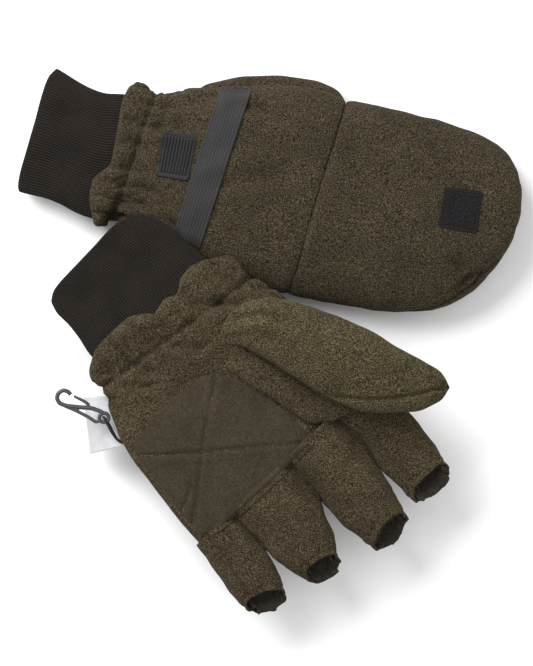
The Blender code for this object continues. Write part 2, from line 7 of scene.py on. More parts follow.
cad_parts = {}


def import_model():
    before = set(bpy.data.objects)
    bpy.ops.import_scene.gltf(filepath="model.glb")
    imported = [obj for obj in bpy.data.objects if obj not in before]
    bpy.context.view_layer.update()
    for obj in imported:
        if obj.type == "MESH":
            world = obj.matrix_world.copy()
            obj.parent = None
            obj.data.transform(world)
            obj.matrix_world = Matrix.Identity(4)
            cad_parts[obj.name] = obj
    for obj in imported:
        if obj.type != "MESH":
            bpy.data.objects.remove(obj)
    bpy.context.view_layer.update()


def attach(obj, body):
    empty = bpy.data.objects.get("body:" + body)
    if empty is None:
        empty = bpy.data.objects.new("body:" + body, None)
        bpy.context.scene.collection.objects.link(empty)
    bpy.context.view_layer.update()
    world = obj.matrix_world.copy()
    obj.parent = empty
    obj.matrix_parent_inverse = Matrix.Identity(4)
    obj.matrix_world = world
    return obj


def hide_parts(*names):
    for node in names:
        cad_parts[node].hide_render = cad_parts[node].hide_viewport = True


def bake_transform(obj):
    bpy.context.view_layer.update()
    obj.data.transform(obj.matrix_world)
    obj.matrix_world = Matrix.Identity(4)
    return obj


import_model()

# ---------------------------------------------------------------- frames of the two mittens
SHIFT = (-1.1, -1.075)
PLACE = {"right": (-131.4, 116.9, math.radians(-9.0)), "left": (-100.0, 45.6, math.radians(-43.9))}
PI = math.pi


def world(side, P):
    """Mitten coordinates (u along the hand, v across, z up) in mm to the row frame in metres."""
    ox, oy, a = PLACE[side]
    P = np.asarray(P, float)
    u, v, z = P[..., 0], P[..., 1], P[..., 2]
    x = ox + u * math.cos(a) - v * math.sin(a) + SHIFT[0]
    y = oy + u * math.sin(a) + v * math.cos(a) + SHIFT[1]
    return np.stack([x, y, z], -1) / 1000.0


def plain(P):
    P = np.asarray(P, float) + np.array([SHIFT[0], SHIFT[1], 0.0])
    return P / 1000.0


def hinge_u(side, v):
    return 165.0 + 0.134 * (v + 13.0) if side == "right" else 164.5 + 0.061 * (v + 9.0)


# ---------------------------------------------------------------- small maths
def sstep(x, a, b):
    t = np.clip((np.asarray(x, float) - a) / (b - a), 0, 1)
    return t * t * (3 - 2 * t)


def gauss(x, s):
    return np.exp(-(np.asarray(x, float) / s) ** 2)


def vnoise(p, seed=0):
    p = np.asarray(p, float)
    i = np.floor(p).astype(np.int64)
    f = p - i
    f = f * f * f * (f * (f * 6 - 15) + 10)

    def h(a, b, c):
        n = (a * 374761393 + b * 668265263 + c * 1103515245 + seed * 12345701) & 0x7FFFFFFF
        n = ((n ^ (n >> 13)) * 1274126177) & 0x7FFFFFFF
        n = ((n ^ (n >> 15)) * 461845907) & 0x7FFFFFFF
        return ((n >> 8) & 0xFFFF) / 32767.5 - 1.0

    x, y, z = i[..., 0], i[..., 1], i[..., 2]
    fx, fy, fz = f[..., 0], f[..., 1], f[..., 2]
    out = 0
    for dx in (0, 1):
        for dy in (0, 1):
            for dz in (0, 1):
                w = (fx if dx else 1 - fx) * (fy if dy else 1 - fy) * (fz if dz else 1 - fz)
                out = out + w * h(x + dx, y + dy, z + dz)
    return out


def fbm(p, seed=0, octaves=3, gain=0.5):
    out, a, q = 0, 1.0, np.asarray(p, float)
    for o in range(octaves):
        out = out + a * vnoise(q, seed + o * 7)
        q, a = q * 2.03 + 3.1, a * gain
    return out


def curve(tab, sigma=4.0, step=0.5):
    """A smooth function through a short table of (place, value)."""
    x = np.array([t[0] for t in tab], float)
    y = np.array([t[1] for t in tab], float)
    pad = 3 * sigma
    xs = np.arange(x[0] - 2 * pad, x[-1] + 2 * pad + step, step)
    ys = np.interp(xs, x, y)
    s0, s1 = (y[1] - y[0]) / (x[1] - x[0]), (y[-1] - y[-2]) / (x[-1] - x[-2])
    ys = np.where(xs < x[0], y[0] + s0 * (xs - x[0]), ys)
    ys = np.where(xs > x[-1], y[-1] + s1 * (xs - x[-1]), ys)
    n = int(pad / step)
    k = np.exp(-0.5 * (np.arange(-n, n + 1) * step / sigma) ** 2)
    k /= k.sum()
    sm = np.convolve(np.pad(ys, n, mode="edge"), k, mode="valid")
    return lambda q: np.interp(q, xs, sm)


def along(pts, t, sigma=3.0):
    """Points at the shares t of the length of a smoothed line through pts."""
    pts = np.array(pts, float)
    d = np.r_[0, np.cumsum(np.linalg.norm(np.diff(pts, axis=0), axis=1))]
    L = d[-1]
    q = np.linspace(0, L, max(60, int(L * 2)))
    dense = np.stack([np.interp(q, d, pts[:, k]) for k in range(pts.shape[1])], -1)
    st = q[1] - q[0]
    n = max(1, int(3 * sigma / st))
    k = np.exp(-0.5 * (np.arange(-n, n + 1) * st / sigma) ** 2)
    k /= k.sum()
    out = []
    for c in range(dense.shape[1]):
        y = dense[:, c]
        lead = 2 * y[0] - y[1:n + 1][::-1]
        tail = 2 * y[-1] - y[-n - 1:-1][::-1]
        out.append(np.convolve(np.r_[lead, y, tail], k, mode="valid"))
    dense = np.stack(out, -1)
    d2 = np.r_[0, np.cumsum(np.linalg.norm(np.diff(dense, axis=0), axis=1))]
    return np.stack([np.interp(np.asarray(t) * d2[-1], d2, dense[:, k]) for k in range(dense.shape[1])], -1)


def normals(P, wrap=True):
    du = np.gradient(P, axis=0)
    if wrap:
        dv = (np.roll(P, -1, 1) - np.roll(P, 1, 1)) / 2
    else:
        dv = np.gradient(P, axis=1)
    n = np.cross(du, dv)
    L = np.linalg.norm(n, axis=-1, keepdims=True)
    n = n / np.maximum(L, 1e-9)
    bad = (L < 1e-7)[..., 0]
    if bad.any():
        n[bad] = 0
    return n


# ---------------------------------------------------------------- mesh building
def make(name, V, F, uv=None, mat=None, smooth=True):
    V = np.asarray(V, float)
    F = [tuple(f) for f in F]
    vol = 0.0
    Fa = np.array([f[:3] for f in F])
    vol = np.einsum("ij,ij->i", V[Fa[:, 0]], np.cross(V[Fa[:, 1]], V[Fa[:, 2]])).sum()
    Fq = np.array([(f[0], f[2], f[3]) for f in F if len(f) == 4])
    if len(Fq):
        vol += np.einsum("ij,ij->i", V[Fq[:, 0]], np.cross(V[Fq[:, 1]], V[Fq[:, 2]])).sum()
    if vol < 0:
        F = [f[::-1] for f in F]
    me = bpy.data.meshes.new(name)
    me.from_pydata(V.tolist(), [], F)
    if uv is not None:
        layer = me.uv_layers.new(name="UVMap")
        li = np.zeros(len(me.loops), np.int32)
        me.loops.foreach_get("vertex_index", li)
        layer.data.foreach_set("uv", np.asarray(uv, np.float32)[li].ravel())
    me.update()
    if smooth:
        me.polygons.foreach_set("use_smooth", [True] * len(me.polygons))
    ob = bpy.data.objects.new(name, me)
    bpy.context.scene.collection.objects.link(ob)
    if mat is not None:
        me.materials.append(mat)
    return ob


def slab_faces(m, n, wrap):
    idx = np.arange(m * n).reshape(m, n)
    if wrap:
        A, B = idx[:-1], idx[1:]
        C, D = np.roll(idx, -1, 1)[1:], np.roll(idx, -1, 1)[:-1]
    else:
        A, B, C, D = idx[:-1, :-1], idx[1:, :-1], idx[1:, 1:], idx[:-1, 1:]
    q = np.stack([A, B, C, D], -1).reshape(-1, 4)
    k = m * n
    out = [q, q[:, ::-1] + k]
    r = np.roll(idx, -1, 1)
    e0, e1 = (idx[0], r[0]) if wrap else (idx[0, :-1], idx[0, 1:])
    out.append(np.stack([e0, e1, e1 + k, e0 + k], -1))
    e0, e1 = (idx[-1], r[-1]) if wrap else (idx[-1, :-1], idx[-1, 1:])
    out.append(np.stack([e1, e0, e0 + k, e1 + k], -1))
    if not wrap:
        out.append(np.stack([idx[1:, 0], idx[:-1, 0], idx[:-1, 0] + k, idx[1:, 0] + k], -1))
        out.append(np.stack([idx[:-1, -1], idx[1:, -1], idx[1:, -1] + k, idx[:-1, -1] + k], -1))
    return np.concatenate(out)


def slab(name, Po, Pi, side, wrap=False, uv=None, mat=None):
    m, n = Po.shape[:2]
    F = slab_faces(m, n, wrap)
    V = np.concatenate([Po.reshape(-1, 3), Pi.reshape(-1, 3)])
    V = world(side, V) if side else plain(V)
    if uv is not None:
        uv = np.concatenate([uv.reshape(-1, 2), uv.reshape(-1, 2)])
    return make(name, V, F, uv, mat)


def arc_uv(P, wrap=False):
    """UV in metres: along the rows and across them."""
    a = np.r_[0, np.cumsum(np.linalg.norm(np.diff(P.mean(1), axis=0), axis=1))]
    mid = P[len(P) // 2]
    c = np.r_[0, np.cumsum(np.linalg.norm(np.diff(mid, axis=0), axis=1))]
    return np.stack(np.meshgrid(a, c, indexing="ij"), -1) / 1000.0


# ---------------------------------------------------------------- materials
def srgb(c):
    return tuple(((x / 255) / 12.92 if x <= 10 else (((x / 255) + 0.055) / 1.055) ** 2.4) for x in c) + (1.0,)


class Mat:
    def __init__(self, name):
        self.m = bpy.data.materials.new(name)
        self.m.use_nodes = True
        self.t = self.m.node_tree
        self.t.nodes.clear()
        self.out = self.t.nodes.new("ShaderNodeOutputMaterial")
        self.b = self.t.nodes.new("ShaderNodeBsdfPrincipled")
        self.t.links.new(self.b.outputs[0], self.out.inputs[0])
        self.co = self.t.nodes.new("ShaderNodeTexCoord")

    def link(self, a, b):
        self.t.links.new(a, b)

    def node(self, kind, **inputs):
        n = self.t.nodes.new(kind)
        for k, v in inputs.items():
            n.inputs[k].default_value = v
        return n

    def noise(self, scale, detail=2.0, rough=0.5, src=None, dist=0.0):
        n = self.node("ShaderNodeTexNoise", Scale=scale, Detail=detail, Roughness=rough, Distortion=dist)
        self.link(src or self.co.outputs["Object"], n.inputs["Vector"])
        return n.outputs["Fac"]

    def ramp(self, fac, stops):
        n = self.t.nodes.new("ShaderNodeValToRGB")
        e = n.color_ramp.elements
        while len(e) < len(stops):
            e.new(0.5)
        for k, (p, c) in enumerate(stops):
            e[k].position, e[k].color = p, c
        self.link(fac, n.inputs["Fac"])
        return n.outputs["Color"]

    def mix(self, fac, a, b, mode="MIX"):
        n = self.t.nodes.new("ShaderNodeMix")
        n.data_type, n.blend_type = "RGBA", mode
        for s, v in (("Factor", fac), ("A", a), ("B", b)):
            sock = [i for i in n.inputs if i.name == s and (i.type == "RGBA" if s != "Factor" else i.type == "VALUE")][0]
            if isinstance(v, (int, float, tuple)):
                sock.default_value = v
            else:
                self.link(v, sock)
        return [o for o in n.outputs if o.type == "RGBA"][0]

    def math(self, op, a, b=None, c=None):
        n = self.t.nodes.new("ShaderNodeMath")
        n.operation = op
        for i, v in enumerate((a, b, c)):
            if v is None:
                continue
            if isinstance(v, (int, float)):
                n.inputs[i].default_value = v
            else:
                self.link(v, n.inputs[i])
        return n.outputs[0]

    def bump(self, h, distance, strength=1.0, prev=None):
        n = self.node("ShaderNodeBump", Strength=strength, Distance=distance)
        self.link(h, n.inputs["Height"])
        if prev is not None:
            self.link(prev, n.inputs["Normal"])
        return n.outputs["Normal"]

    def done(self, color, rough=0.9, spec=0.2, sheen=0.0, normal=None, sheen_tint=None, sheen_rough=0.5):
        b = self.b.inputs
        if isinstance(color, tuple):
            b["Base Color"].default_value = color
        else:
            self.link(color, b["Base Color"])
        if isinstance(rough, (int, float)):
            b["Roughness"].default_value = rough
        else:
            self.link(rough, b["Roughness"])
        b["Specular IOR Level"].default_value = spec
        b["Sheen Weight"].default_value = sheen
        b["Sheen Roughness"].default_value = sheen_rough
        if sheen_tint:
            b["Sheen Tint"].default_value = sheen_tint
        if normal is not None:
            self.link(normal, b["Normal"])
        return self.m


def scaled(c, k):
    return tuple(min(1.0, x * k) for x in c[:3]) + (1.0,)


def fleece(name, rgb, k=1.0, seed=0.0):
    M = Mat(name)
    base = scaled(srgb(rgb), k)
    off = M.node("ShaderNodeVectorMath")
    off.operation = "ADD"
    off.inputs[1].default_value = (seed, seed * 0.7, seed * 0.3)
    M.link(M.co.outputs["Object"], off.inputs[0])
    src = off.outputs[0]
    clump = M.noise(1350.0, 3.0, 0.7, src)
    fine = M.noise(2600.0, 2.0, 0.6, src)
    broad = M.noise(38.0, 2.0, 0.5, src)
    both = M.math("ADD", M.math("MULTIPLY", clump, 0.72), M.math("MULTIPLY", fine, 0.28))
    col = M.ramp(both, [(0.385, scaled(base, 0.05)), (0.465, scaled(base, 0.52)), (0.53, scaled(base, 1.3)), (0.6, scaled(base, 2.9))])
    tone = M.ramp(broad, [(0.3, (0.86, 0.85, 0.84, 1)), (0.7, (1.13, 1.13, 1.10, 1))])
    col = M.mix(1.0, col, tone, "MULTIPLY")
    n1 = M.bump(both, 0.0011, 1.0)
    n2 = M.bump(M.noise(240.0, 2.0, 0.5, src), 0.0009, 0.5, n1)
    return M.done(col, 0.97, 0.1, 0.12, n2, scaled(base, 5.0))


def suede(name, rgb, k=1.0):
    M = Mat(name)
    base = scaled(srgb(rgb), k)
    nap = M.noise(900.0, 3.0, 0.6)
    cloud = M.noise(75.0, 3.0, 0.55, dist=0.4)
    col = M.ramp(nap, [(0.32, scaled(base, 0.66)), (0.5, base), (0.68, scaled(base, 1.45))])
    tone = M.ramp(cloud, [(0.32, (0.88, 0.87, 0.86, 1)), (0.68, (1.12, 1.12, 1.1, 1))])
    col = M.mix(1.0, col, tone, "MULTIPLY")
    n = M.bump(nap, 0.0003, 0.7)
    n = M.bump(M.noise(320.0, 2.0, 0.5), 0.0005, 0.35, n)
    return M.done(col, 0.93, 0.12, 0.18, n, scaled(base, 4.0))


def knit(name, rgb, k=1.0):
    """Fine rib knit: the ribs are modelled, the loops along each rib are in the shader, and its colour carries painted
    shade in the valleys and painted highlight on the crests.
    """
    M = Mat(name)
    base = scaled(srgb(rgb), k)
    sep = M.t.nodes.new("ShaderNodeSeparateXYZ")
    M.link(M.co.outputs["UV"], sep.inputs[0])
    a, c = sep.outputs["X"], sep.outputs["Y"]
    rib = M.math("PINGPONG", M.math("MULTIPLY", c, 1.0 / 0.0015), 0.5)
    loop = M.math("PINGPONG", M.math("ADD", M.math("MULTIPLY", a, 1.0 / 0.0011), rib), 0.5)
    yarn = M.noise(1500.0, 2.0, 0.6)
    crest = M.math("SUBTRACT", 0.5, rib)
    h = M.math("ADD", M.math("ADD", M.math("MULTIPLY", loop, 0.9), M.math("MULTIPLY", crest, 0.6)), M.math("MULTIPLY", yarn, 0.85))
    # The colour follows the height h: painted shade darkens the valleys between ribs and loops, painted highlight
    # lightens the crests; the yarn noise adds random tone.
    col = M.ramp(h, [(0.42, scaled(base, 0.15)), (0.72, scaled(base, 0.9)), (1.0, scaled(base, 3.4))])
    tone = M.ramp(M.noise(55.0, 2.0, 0.5), [(0.3, (0.84, 0.84, 0.84, 1)), (0.7, (1.16, 1.15, 1.12, 1))])
    col = M.mix(1.0, col, tone, "MULTIPLY")
    n = M.bump(h, 0.0004, 0.8)
    return M.done(col, 0.92, 0.15, 0.08, n, scaled(base, 4.0))


def woven(name, rgb, k=1.0, pitch=0.0012, twill=True, contrast=0.5, rough=0.8):
    M = Mat(name)
    base = scaled(srgb(rgb), k)
    sep = M.t.nodes.new("ShaderNodeSeparateXYZ")
    M.link(M.co.outputs["UV"], sep.inputs[0])
    a, c = sep.outputs["X"], sep.outputs["Y"]
    t = M.math("ADD", a, M.math("MULTIPLY", c, 0.8)) if twill else a
    w1 = M.math("PINGPONG", M.math("MULTIPLY", t, 1.0 / pitch), 0.5)
    w2 = M.math("PINGPONG", M.math("MULTIPLY", c, 1.0 / (pitch * 0.8)), 0.5)
    yarn = M.noise(1600.0, 2.0, 0.6)
    h = M.math("ADD", M.math("ADD", M.math("MULTIPLY", w1, 1.0), M.math("MULTIPLY", w2, 0.5)), M.math("MULTIPLY", yarn, 0.5))
    # The colour follows the thread height h: painted shade in the hollows between threads, painted highlight on the
    # thread crests; the yarn noise adds random tone.
    col = M.ramp(h, [(0.25, scaled(base, 1 - contrast)), (0.6, base), (0.95, scaled(base, 1 + contrast * 1.4))])
    tone = M.ramp(M.noise(110.0, 3.0, 0.55), [(0.3, (0.9, 0.9, 0.9, 1)), (0.7, (1.1, 1.1, 1.1, 1))])
    col = M.mix(1.0, col, tone, "MULTIPLY")
    n = M.bump(h, 0.0003, 0.8)
    return M.done(col, rough, 0.25, 0.05, n)


def pile(name, rgb, k=1.0, cell=900.0, rough=0.75, contrast=0.6):
    M = Mat(name)
    base = scaled(srgb(rgb), k)
    f = M.noise(cell, 3.0, 0.65)
    col = M.ramp(f, [(0.32, scaled(base, 1 - contrast)), (0.5, base), (0.68, scaled(base, 1 + contrast * 2))])
    tone = M.ramp(M.noise(150.0, 2.0, 0.5), [(0.3, (0.85, 0.85, 0.87, 1)), (0.7, (1.15, 1.14, 1.15, 1))])
    col = M.mix(1.0, col, tone, "MULTIPLY")
    n = M.bump(f, 0.0005, 0.8)
    return M.done(col, rough, 0.25, 0.1, n)


def plastic(name, rgb, k=1.0):
    M = Mat(name)
    base = scaled(srgb(rgb), k)
    f = M.noise(520.0, 3.0, 0.55)
    col = M.ramp(f, [(0.3, scaled(base, 0.85)), (0.7, scaled(base, 1.15))])
    r = M.math("ADD", M.math("MULTIPLY", M.noise(260.0, 3.0, 0.6), 0.22), 0.32)
    n = M.bump(M.noise(900.0, 2.0, 0.5), 0.00006, 0.4)
    return M.done(col, r, 0.5, 0.0, n)


K = 0.62
# One fleece in three copies: the left mitten's and the thumb's copies are made lighter than the right's, painted light
# standing in for the brighter light that falls on them.
FLEECE_R = fleece("fleece_right", (70, 62, 48), K, 0.11)
FLEECE_L_PAINTED_LIGHTER = fleece("fleece_left_painted_lighter", (75, 66, 50), K * 1.08, 0.37)
FLEECE_T_PAINTED_LIGHTER = fleece("fleece_thumb_painted_lighter", (79, 71, 52), K * 1.06, 0.73)
SUEDE = suede("suede_patch", (66, 58, 46), K)
KNIT = knit("rib_knit", (40, 35, 31), K * 0.58)
LINING = pile("brushed_lining", (48, 42, 34), K, 700.0, 0.9, 0.45)
WADDING = pile("wadding", (150, 148, 142), K, 420.0, 0.95, 0.3)
ELASTIC = woven("strap_elastic", (60, 60, 60), K * 0.7, 0.0012, True, 0.8)
BAND = woven("wrist_band", (50, 50, 50), K, 0.0015, False, 0.5)
HOOKS = pile("hook_tape", (44, 44, 46), K * 0.3, 1300.0, 0.6, 0.9)
LOOPS = pile("loop_tape", (37, 32, 38), K * 0.32, 1000.0, 0.9, 0.95)
LABEL = woven("label_satin", (226, 226, 228), K, 0.0007, False, 0.12, 0.55)
CLIP = plastic("clip_plastic", (66, 66, 70), K)
CORD = woven("cord_braid", (44, 44, 46), K, 0.0008, True, 0.6)
THREAD = pile("thread", (40, 35, 26), K, 1800.0, 0.8, 0.4)

# ---------------------------------------------------------------- the hand of each mitten
HAND = {
    "right": dict(
        A=curve([(30, 33), (46, 34.5), (54.7, 37), (65, 32.5), (78, 35), (91.4, 37.4), (110, 41.8), (125.9, 45.8), (145, 48.2), (161.9, 47.4), (172.6, 43.6)], 3.0),
        B=curve([(34, -49), (38, -51), (45, -52), (54, -45), (68, -51.5), (84, -57), (116, -65), (134, -69), (148, -71), (157.5, -70.5), (165, -71)], 3.0),
        T=curve([(36, 22.5), (46, 24.3), (61, 21.8), (75, 26.2), (100, 29.5), (130, 31), (165, 31.3), (185, 31.3)], 4.0),
        L=curve([(36, 2.0), (46, 0.8), (60, 2.5), (75, 2.2), (165, 2.4), (185, 2.4)], 4.0),
        E=curve([(36, 12.3), (60, 12.3), (90, 14.5), (165, 14.5), (185, 14.5)], 4.0),
        hem=curve([(-70, 43), (-51, 40), (-42, 36.5), (-34, 35.5), (-25, 36), (-19, 41), (-15, 45), (0, 45.5), (14.5, 45.5), (27, 45.5), (34, 47), (50, 50)], 1.6),
        shir=lambda v: 59.0 + 0.17 * v,
        valleys=[-62, -51, -43, -33.7, -24.5, -15.2, -1, 12.5, 23, 34, 44],
        cA=curve([(-14, 36.6), (2.3, 36.2), (16, 31.5), (27, 28), (35.7, 26.4), (44, 28), (58, 28)], 3.0),
        cB=curve([(-14, -36.5), (-7.4, -37), (2, -38), (11, -38.3), (22, -41), (31, -43.6), (42, -45), (58, -44)], 3.0),
        cz=12.3, ch=6.9, mouth=lambda v: -7.4 + (v + 37) / 73.2 * 9.7,
    ),
    "left": dict(
        A=curve([(30, 42), (48, 46), (57, 55), (72, 53), (84, 57), (92, 59), (114, 60), (127, 60), (150, 60), (170, 59.5)], 3.0),
        B=curve([(30, -44), (41, -46), (50, -55), (58, -51), (72, -57.8), (84, -64.5), (99, -69.2), (114, -71), (140, -75), (162, -77), (170, -77.5)], 3.0),
        T=curve([(36, 42.4), (46, 44.6), (62, 41.6), (75, 43.8), (100, 45.4), (140, 45.4), (165, 44.6), (180, 44.2)], 4.0),
        L=curve([(36, 24.6), (46, 23.1), (60, 26.4), (75, 27.6), (100, 27.0), (127, 24.1), (165, 22.9), (180, 22.9)], 4.0),
        E=curve([(36, 33.6), (180, 33.6)], 4.0),
        hem=curve([(-70, 58), (-57, 52), (-51, 45), (-47.6, 42.5), (-40.7, 40), (-27, 40), (-14.1, 41), (-7, 46.5), (-2.6, 51.5), (-0.6, 50), (7.9, 48.5), (13, 50), (17.5, 52.5), (21, 50), (24.1, 47.2), (34.2, 46.2), (45, 49.5), (53.7, 55), (65, 60)], 1.3),
        shir=lambda v: 66.5 + 0.17 * (v + 1.7),
        valleys=[-68, -54, -41, -30, -12.5, -1.8, 20.8, 44, 58],
        cA=curve([(-6, 24), (-1, 28), (1.9, 33.6), (12, 38.8), (24.6, 43.0), (40.7, 43.0), (58, 43)], 2.5),
        cB=curve([(-6, -34), (0, -34.5), (10, -38.5), (20, -38), (30, -39), (39, -40.7), (58, -42)], 2.5),
        cz=34.7, ch=5.6, mouth=lambda v: -1.0 + 0 * v,
    ),
}


def section(th, p=0.8):
    c, s = np.cos(th), np.sin(th)
    return np.sign(c) * np.abs(c) ** p, np.sign(s) * np.abs(s) ** p


def puffs(v, valleys):
    """0 in each pleat, 1 on the crown between two, and the width of the puff there."""
    vs = np.array(sorted(valleys), float)
    k = np.clip(np.searchsorted(vs, v) - 1, 0, len(vs) - 2)
    w = vs[k + 1] - vs[k]
    t = np.clip((v - vs[k]) / w, 0, 1)
    return np.sin(PI * t) ** 0.62, w


# creases and folds: (side, upper face, [(u, v), ...], depth, half width); a negative depth is a raised fold
FOLDS = [
    ("right", 1, [(92, -58), (86, -42), (76, -30), (66, -24)], 1.5, 3.2),
    ("right", 1, [(66, -34), (78, -41), (92, -45)], 1.3, 2.6),
    ("right", 1, [(101, -18), (114, -13), (128, -9), (144, -6)], 1.5, 4.2),
    ("right", 1, [(110, 32.5), (124, 30.5), (140, 26)], 1.8, 3.2),
    ("right", 1, [(88, 33), (104, 36), (118, 41)], 1.2, 2.2),
    ("right", 1, [(66, 24), (80, 27), (98, 30)], 1.2, 3.0),
    ("right", 1, [(64, 6), (70, 12), (74, 22)], 1.1, 2.4),
    ("right", 1, [(120, -40), (136, -46), (150, -58)], 0.8, 5.0),
    ("right", 1, [(128, 4), (150, 8), (170, 6)], 0.6, 7.0),
    ("left", 1, [(66, -40), (74, -36), (80, -26)], 1.5, 2.2),
    ("left", 1, [(64, -26), (72, -24), (82, -22)], 1.2, 2.0),
    ("left", 1, [(62, -6), (72, -4), (84, 4)], 1.3, 2.4),
    ("left", 1, [(62, 10), (72, 12), (84, 14)], 1.1, 2.4),
    ("left", 1, [(66, 22), (72, 30), (82, 38)], 2.0, 3.0),
    ("left", 1, [(54, -8), (62, -10), (72, -14)], 1.3, 2.0),
    ("left", 1, [(96, -36), (116, -30), (134, -36)], 0.7, 7.0),
    ("left", 1, [(104, 2), (124, -4), (146, 2)], 0.7, 7.0),
]


def line_distance(u, v, pts):
    best = np.full(np.shape(u), 1e9)
    pts = along(pts, np.linspace(0, 1, 24), 3.0)
    at = np.zeros(np.shape(u))
    for k in range(len(pts) - 1):
        a, b = pts[k], pts[k + 1]
        d = b - a
        t = np.clip(((u - a[0]) * d[0] + (v - a[1]) * d[1]) / (d @ d), 0, 1)
        dd = np.hypot(u - a[0] - t * d[0], v - a[1] - t * d[1])
        at = np.where(dd < best, (k + t) / (len(pts) - 1), at)
        best = np.minimum(best, dd)
    return best, at


def folds(side, upper, u, v):
    out = 0
    for s, f, pts, depth, width in FOLDS:
        if s == side and f == upper:
            d, t = line_distance(u, v, pts)
            fade = np.sin(PI * np.clip(t * 0.86 + 0.07, 0, 1)) ** 0.5
            out = out - depth * fade * (gauss(d, width) - 0.45 * gauss(d - width * 2.2, width * 1.3))
    return out


def hand_ring(side, nt=232):
    H = HAND[side]
    th = np.linspace(0, 2 * PI, nt, endpoint=False)
    X, Y = section(th)
    q = np.r_[0, 0.12, 0.45, 1.0, 1.7, 2.6, 3.6, 4.7, 5.9, np.arange(7.2, 121.5, 1.3)]
    Q = q[-1]
    q = q[:, None]
    X, Y = X[None, :], Y[None, :]
    un = 45 + q + 0 * X
    for _ in range(4):
        v = (H["A"](un) + H["B"](un)) / 2 + (H["A"](un) - H["B"](un)) / 2 * X
        hem = H["hem"](v)
        span = hinge_u(side, v) - hem
        un = hem + q * span / Q
    u = un
    vc, hv = (H["A"](u) + H["B"](u)) / 2, (H["A"](u) - H["B"](u)) / 2
    v = vc + hv * X
    T, L, E = H["T"](u), H["L"](u), H["E"](u)
    z = np.where(Y >= 0, E + (T - E) * Y, E + (E - L) * Y)
    # the hem rolls down onto the cuff
    cA, cB = H["cA"](np.clip(u, -10, 58)) + 0.8, H["cB"](np.clip(u, -10, 58)) - 0.8
    cv = (cA + cB) / 2 + (cA - cB) / 2 * X
    cz = H["cz"] + (H["ch"] + 0.5) * Y
    t = np.sqrt(np.clip(1 - (1 - np.clip(q / 5.5, 0, 1)) ** 2, 0, 1))
    v = cv + (v - cv) * t
    z = cz + (z - cz) * t
    P = np.stack([u, v, z], -1)
    N = normals(P)
    if (N[len(N) // 2, :, 2] * Y[0]).sum() < 0:
        N = -N
    # gathered hem
    us = H["shir"](v)
    puff, w = puffs(v + 0.9 * fbm(np.stack([u / 9, v / 40, z / 40], -1), 5, 2), H["valleys"])
    ahead = sstep(u - us, 0, 34)
    ruffle = (1 - sstep(u - us, -4, 2)) * sstep(q, 0.5, 4)
    amp = np.clip(0.27 * w, 2.4, 5.0)
    D = ruffle * (amp * puff - 0.72 * amp)
    D += (puff - 0.62) * 2.3 * sstep(u - us, 0, 3) * (1 - sstep(u - us, 4, 30))
    D -= 2.4 * gauss(u - us, 1.5)
    # sharp creases that run out of the gathers
    rid = np.clip(1 - 4.6 * np.abs(vnoise(np.stack([u / 15, (v + 0.35 * u) / 6.2, 0 * v + 4], -1), 51)), 0, 1)
    rid2 = np.clip(1 - 4.6 * np.abs(vnoise(np.stack([u / 13, (v - 0.5 * u) / 7.0, 0 * v + 6], -1), 53)), 0, 1)
    D -= (2.3 * rid ** 1.5 + 2.0 * rid2 ** 1.5) * gauss(u - us - 4, 13) * sstep(q, 4, 8)
    # small gathers either side of the stitched-in elastic
    ang = np.arctan2(Y, X)
    g = vnoise(np.stack([u / 16, (v + 2.0 * np.sign(Y) * np.abs(Y)) / 3.1, 0 * v + 9], -1), 21)
    D += 0.9 * g * gauss(u - us - 3, 9) * sstep(q, 2, 6)
    g2 = vnoise(np.stack([u / 22, v / 6.4, 0 * v + 2], -1), 31)
    D += 1.25 * g2 * gauss(u - us - 10, 17) * sstep(q, 4, 9)
    # soft unevenness of lofty cloth
    D += 0.75 * fbm(P / np.array([34.0, 27.0, 30.0]), 3, 3) * sstep(q, 3, 12)
    up = sstep(Y + 0 * u, -0.15, 0.25)
    D += 1.5 * up * folds(side, 1, u, v)
    if side == "left":
        # the hollow of the palm beside the ball of the thumb
        dd, t = line_distance(u, v, [(94, -8), (118, 2), (140, 8), (164, 14)])
        D -= up * 5.2 * gauss(dd, 17) * sstep(q, 26, 50)
    D += (1 - up) * 0.8 * fbm(P / np.array([20.0, 14.0, 20.0]), 9, 2)
    # side seams and the seam across the knuckles
    seam = np.abs(np.arcsin(np.clip(Y, -1, 1))) * (H["T"](u) - H["L"](u)) * 0.45
    D -= 1.1 * gauss(seam, 1.7) * sstep(q, 3, 9)
    D -= (1.0 * gauss(u - hinge_u(side, v), 1.6) if side == "right" else 0.5 * sstep(u - hinge_u(side, v), -2.5, 0.5))
    P = P + N * D[..., None]
    N = normals(P)
    if (N[len(N) // 2, :, 2] * Y[0]).sum() < 0:
        N = -N
    return P, N, th


def panel(name, P, N, cols, t0, t1, side, mat, rows=slice(None)):
    a, b = P[rows][:, cols], N[rows][:, cols]
    return slab(name, a - b * t0, a - b * t1, side, False, arc_uv(a), mat)


def ride(o, body, slot_name, *nodes):
    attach(o, body)
    if nodes:
        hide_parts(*nodes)
    return o


def bend(o, a, b, start, end, slot_name, *nodes):
    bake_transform(o)
    if nodes:
        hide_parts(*nodes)
    return o


def bvh_of(*objs):
    V, F, k = [], [], 0
    for o in objs:
        me = o.data
        co = np.zeros(len(me.vertices) * 3)
        me.vertices.foreach_get("co", co)
        V.append(co.reshape(-1, 3) * 1000)
        F += [tuple(i + k for i in p.vertices) for p in me.polygons]
        k += len(me.vertices)
    return BVHTree.FromPolygons(np.concatenate(V).tolist(), F)


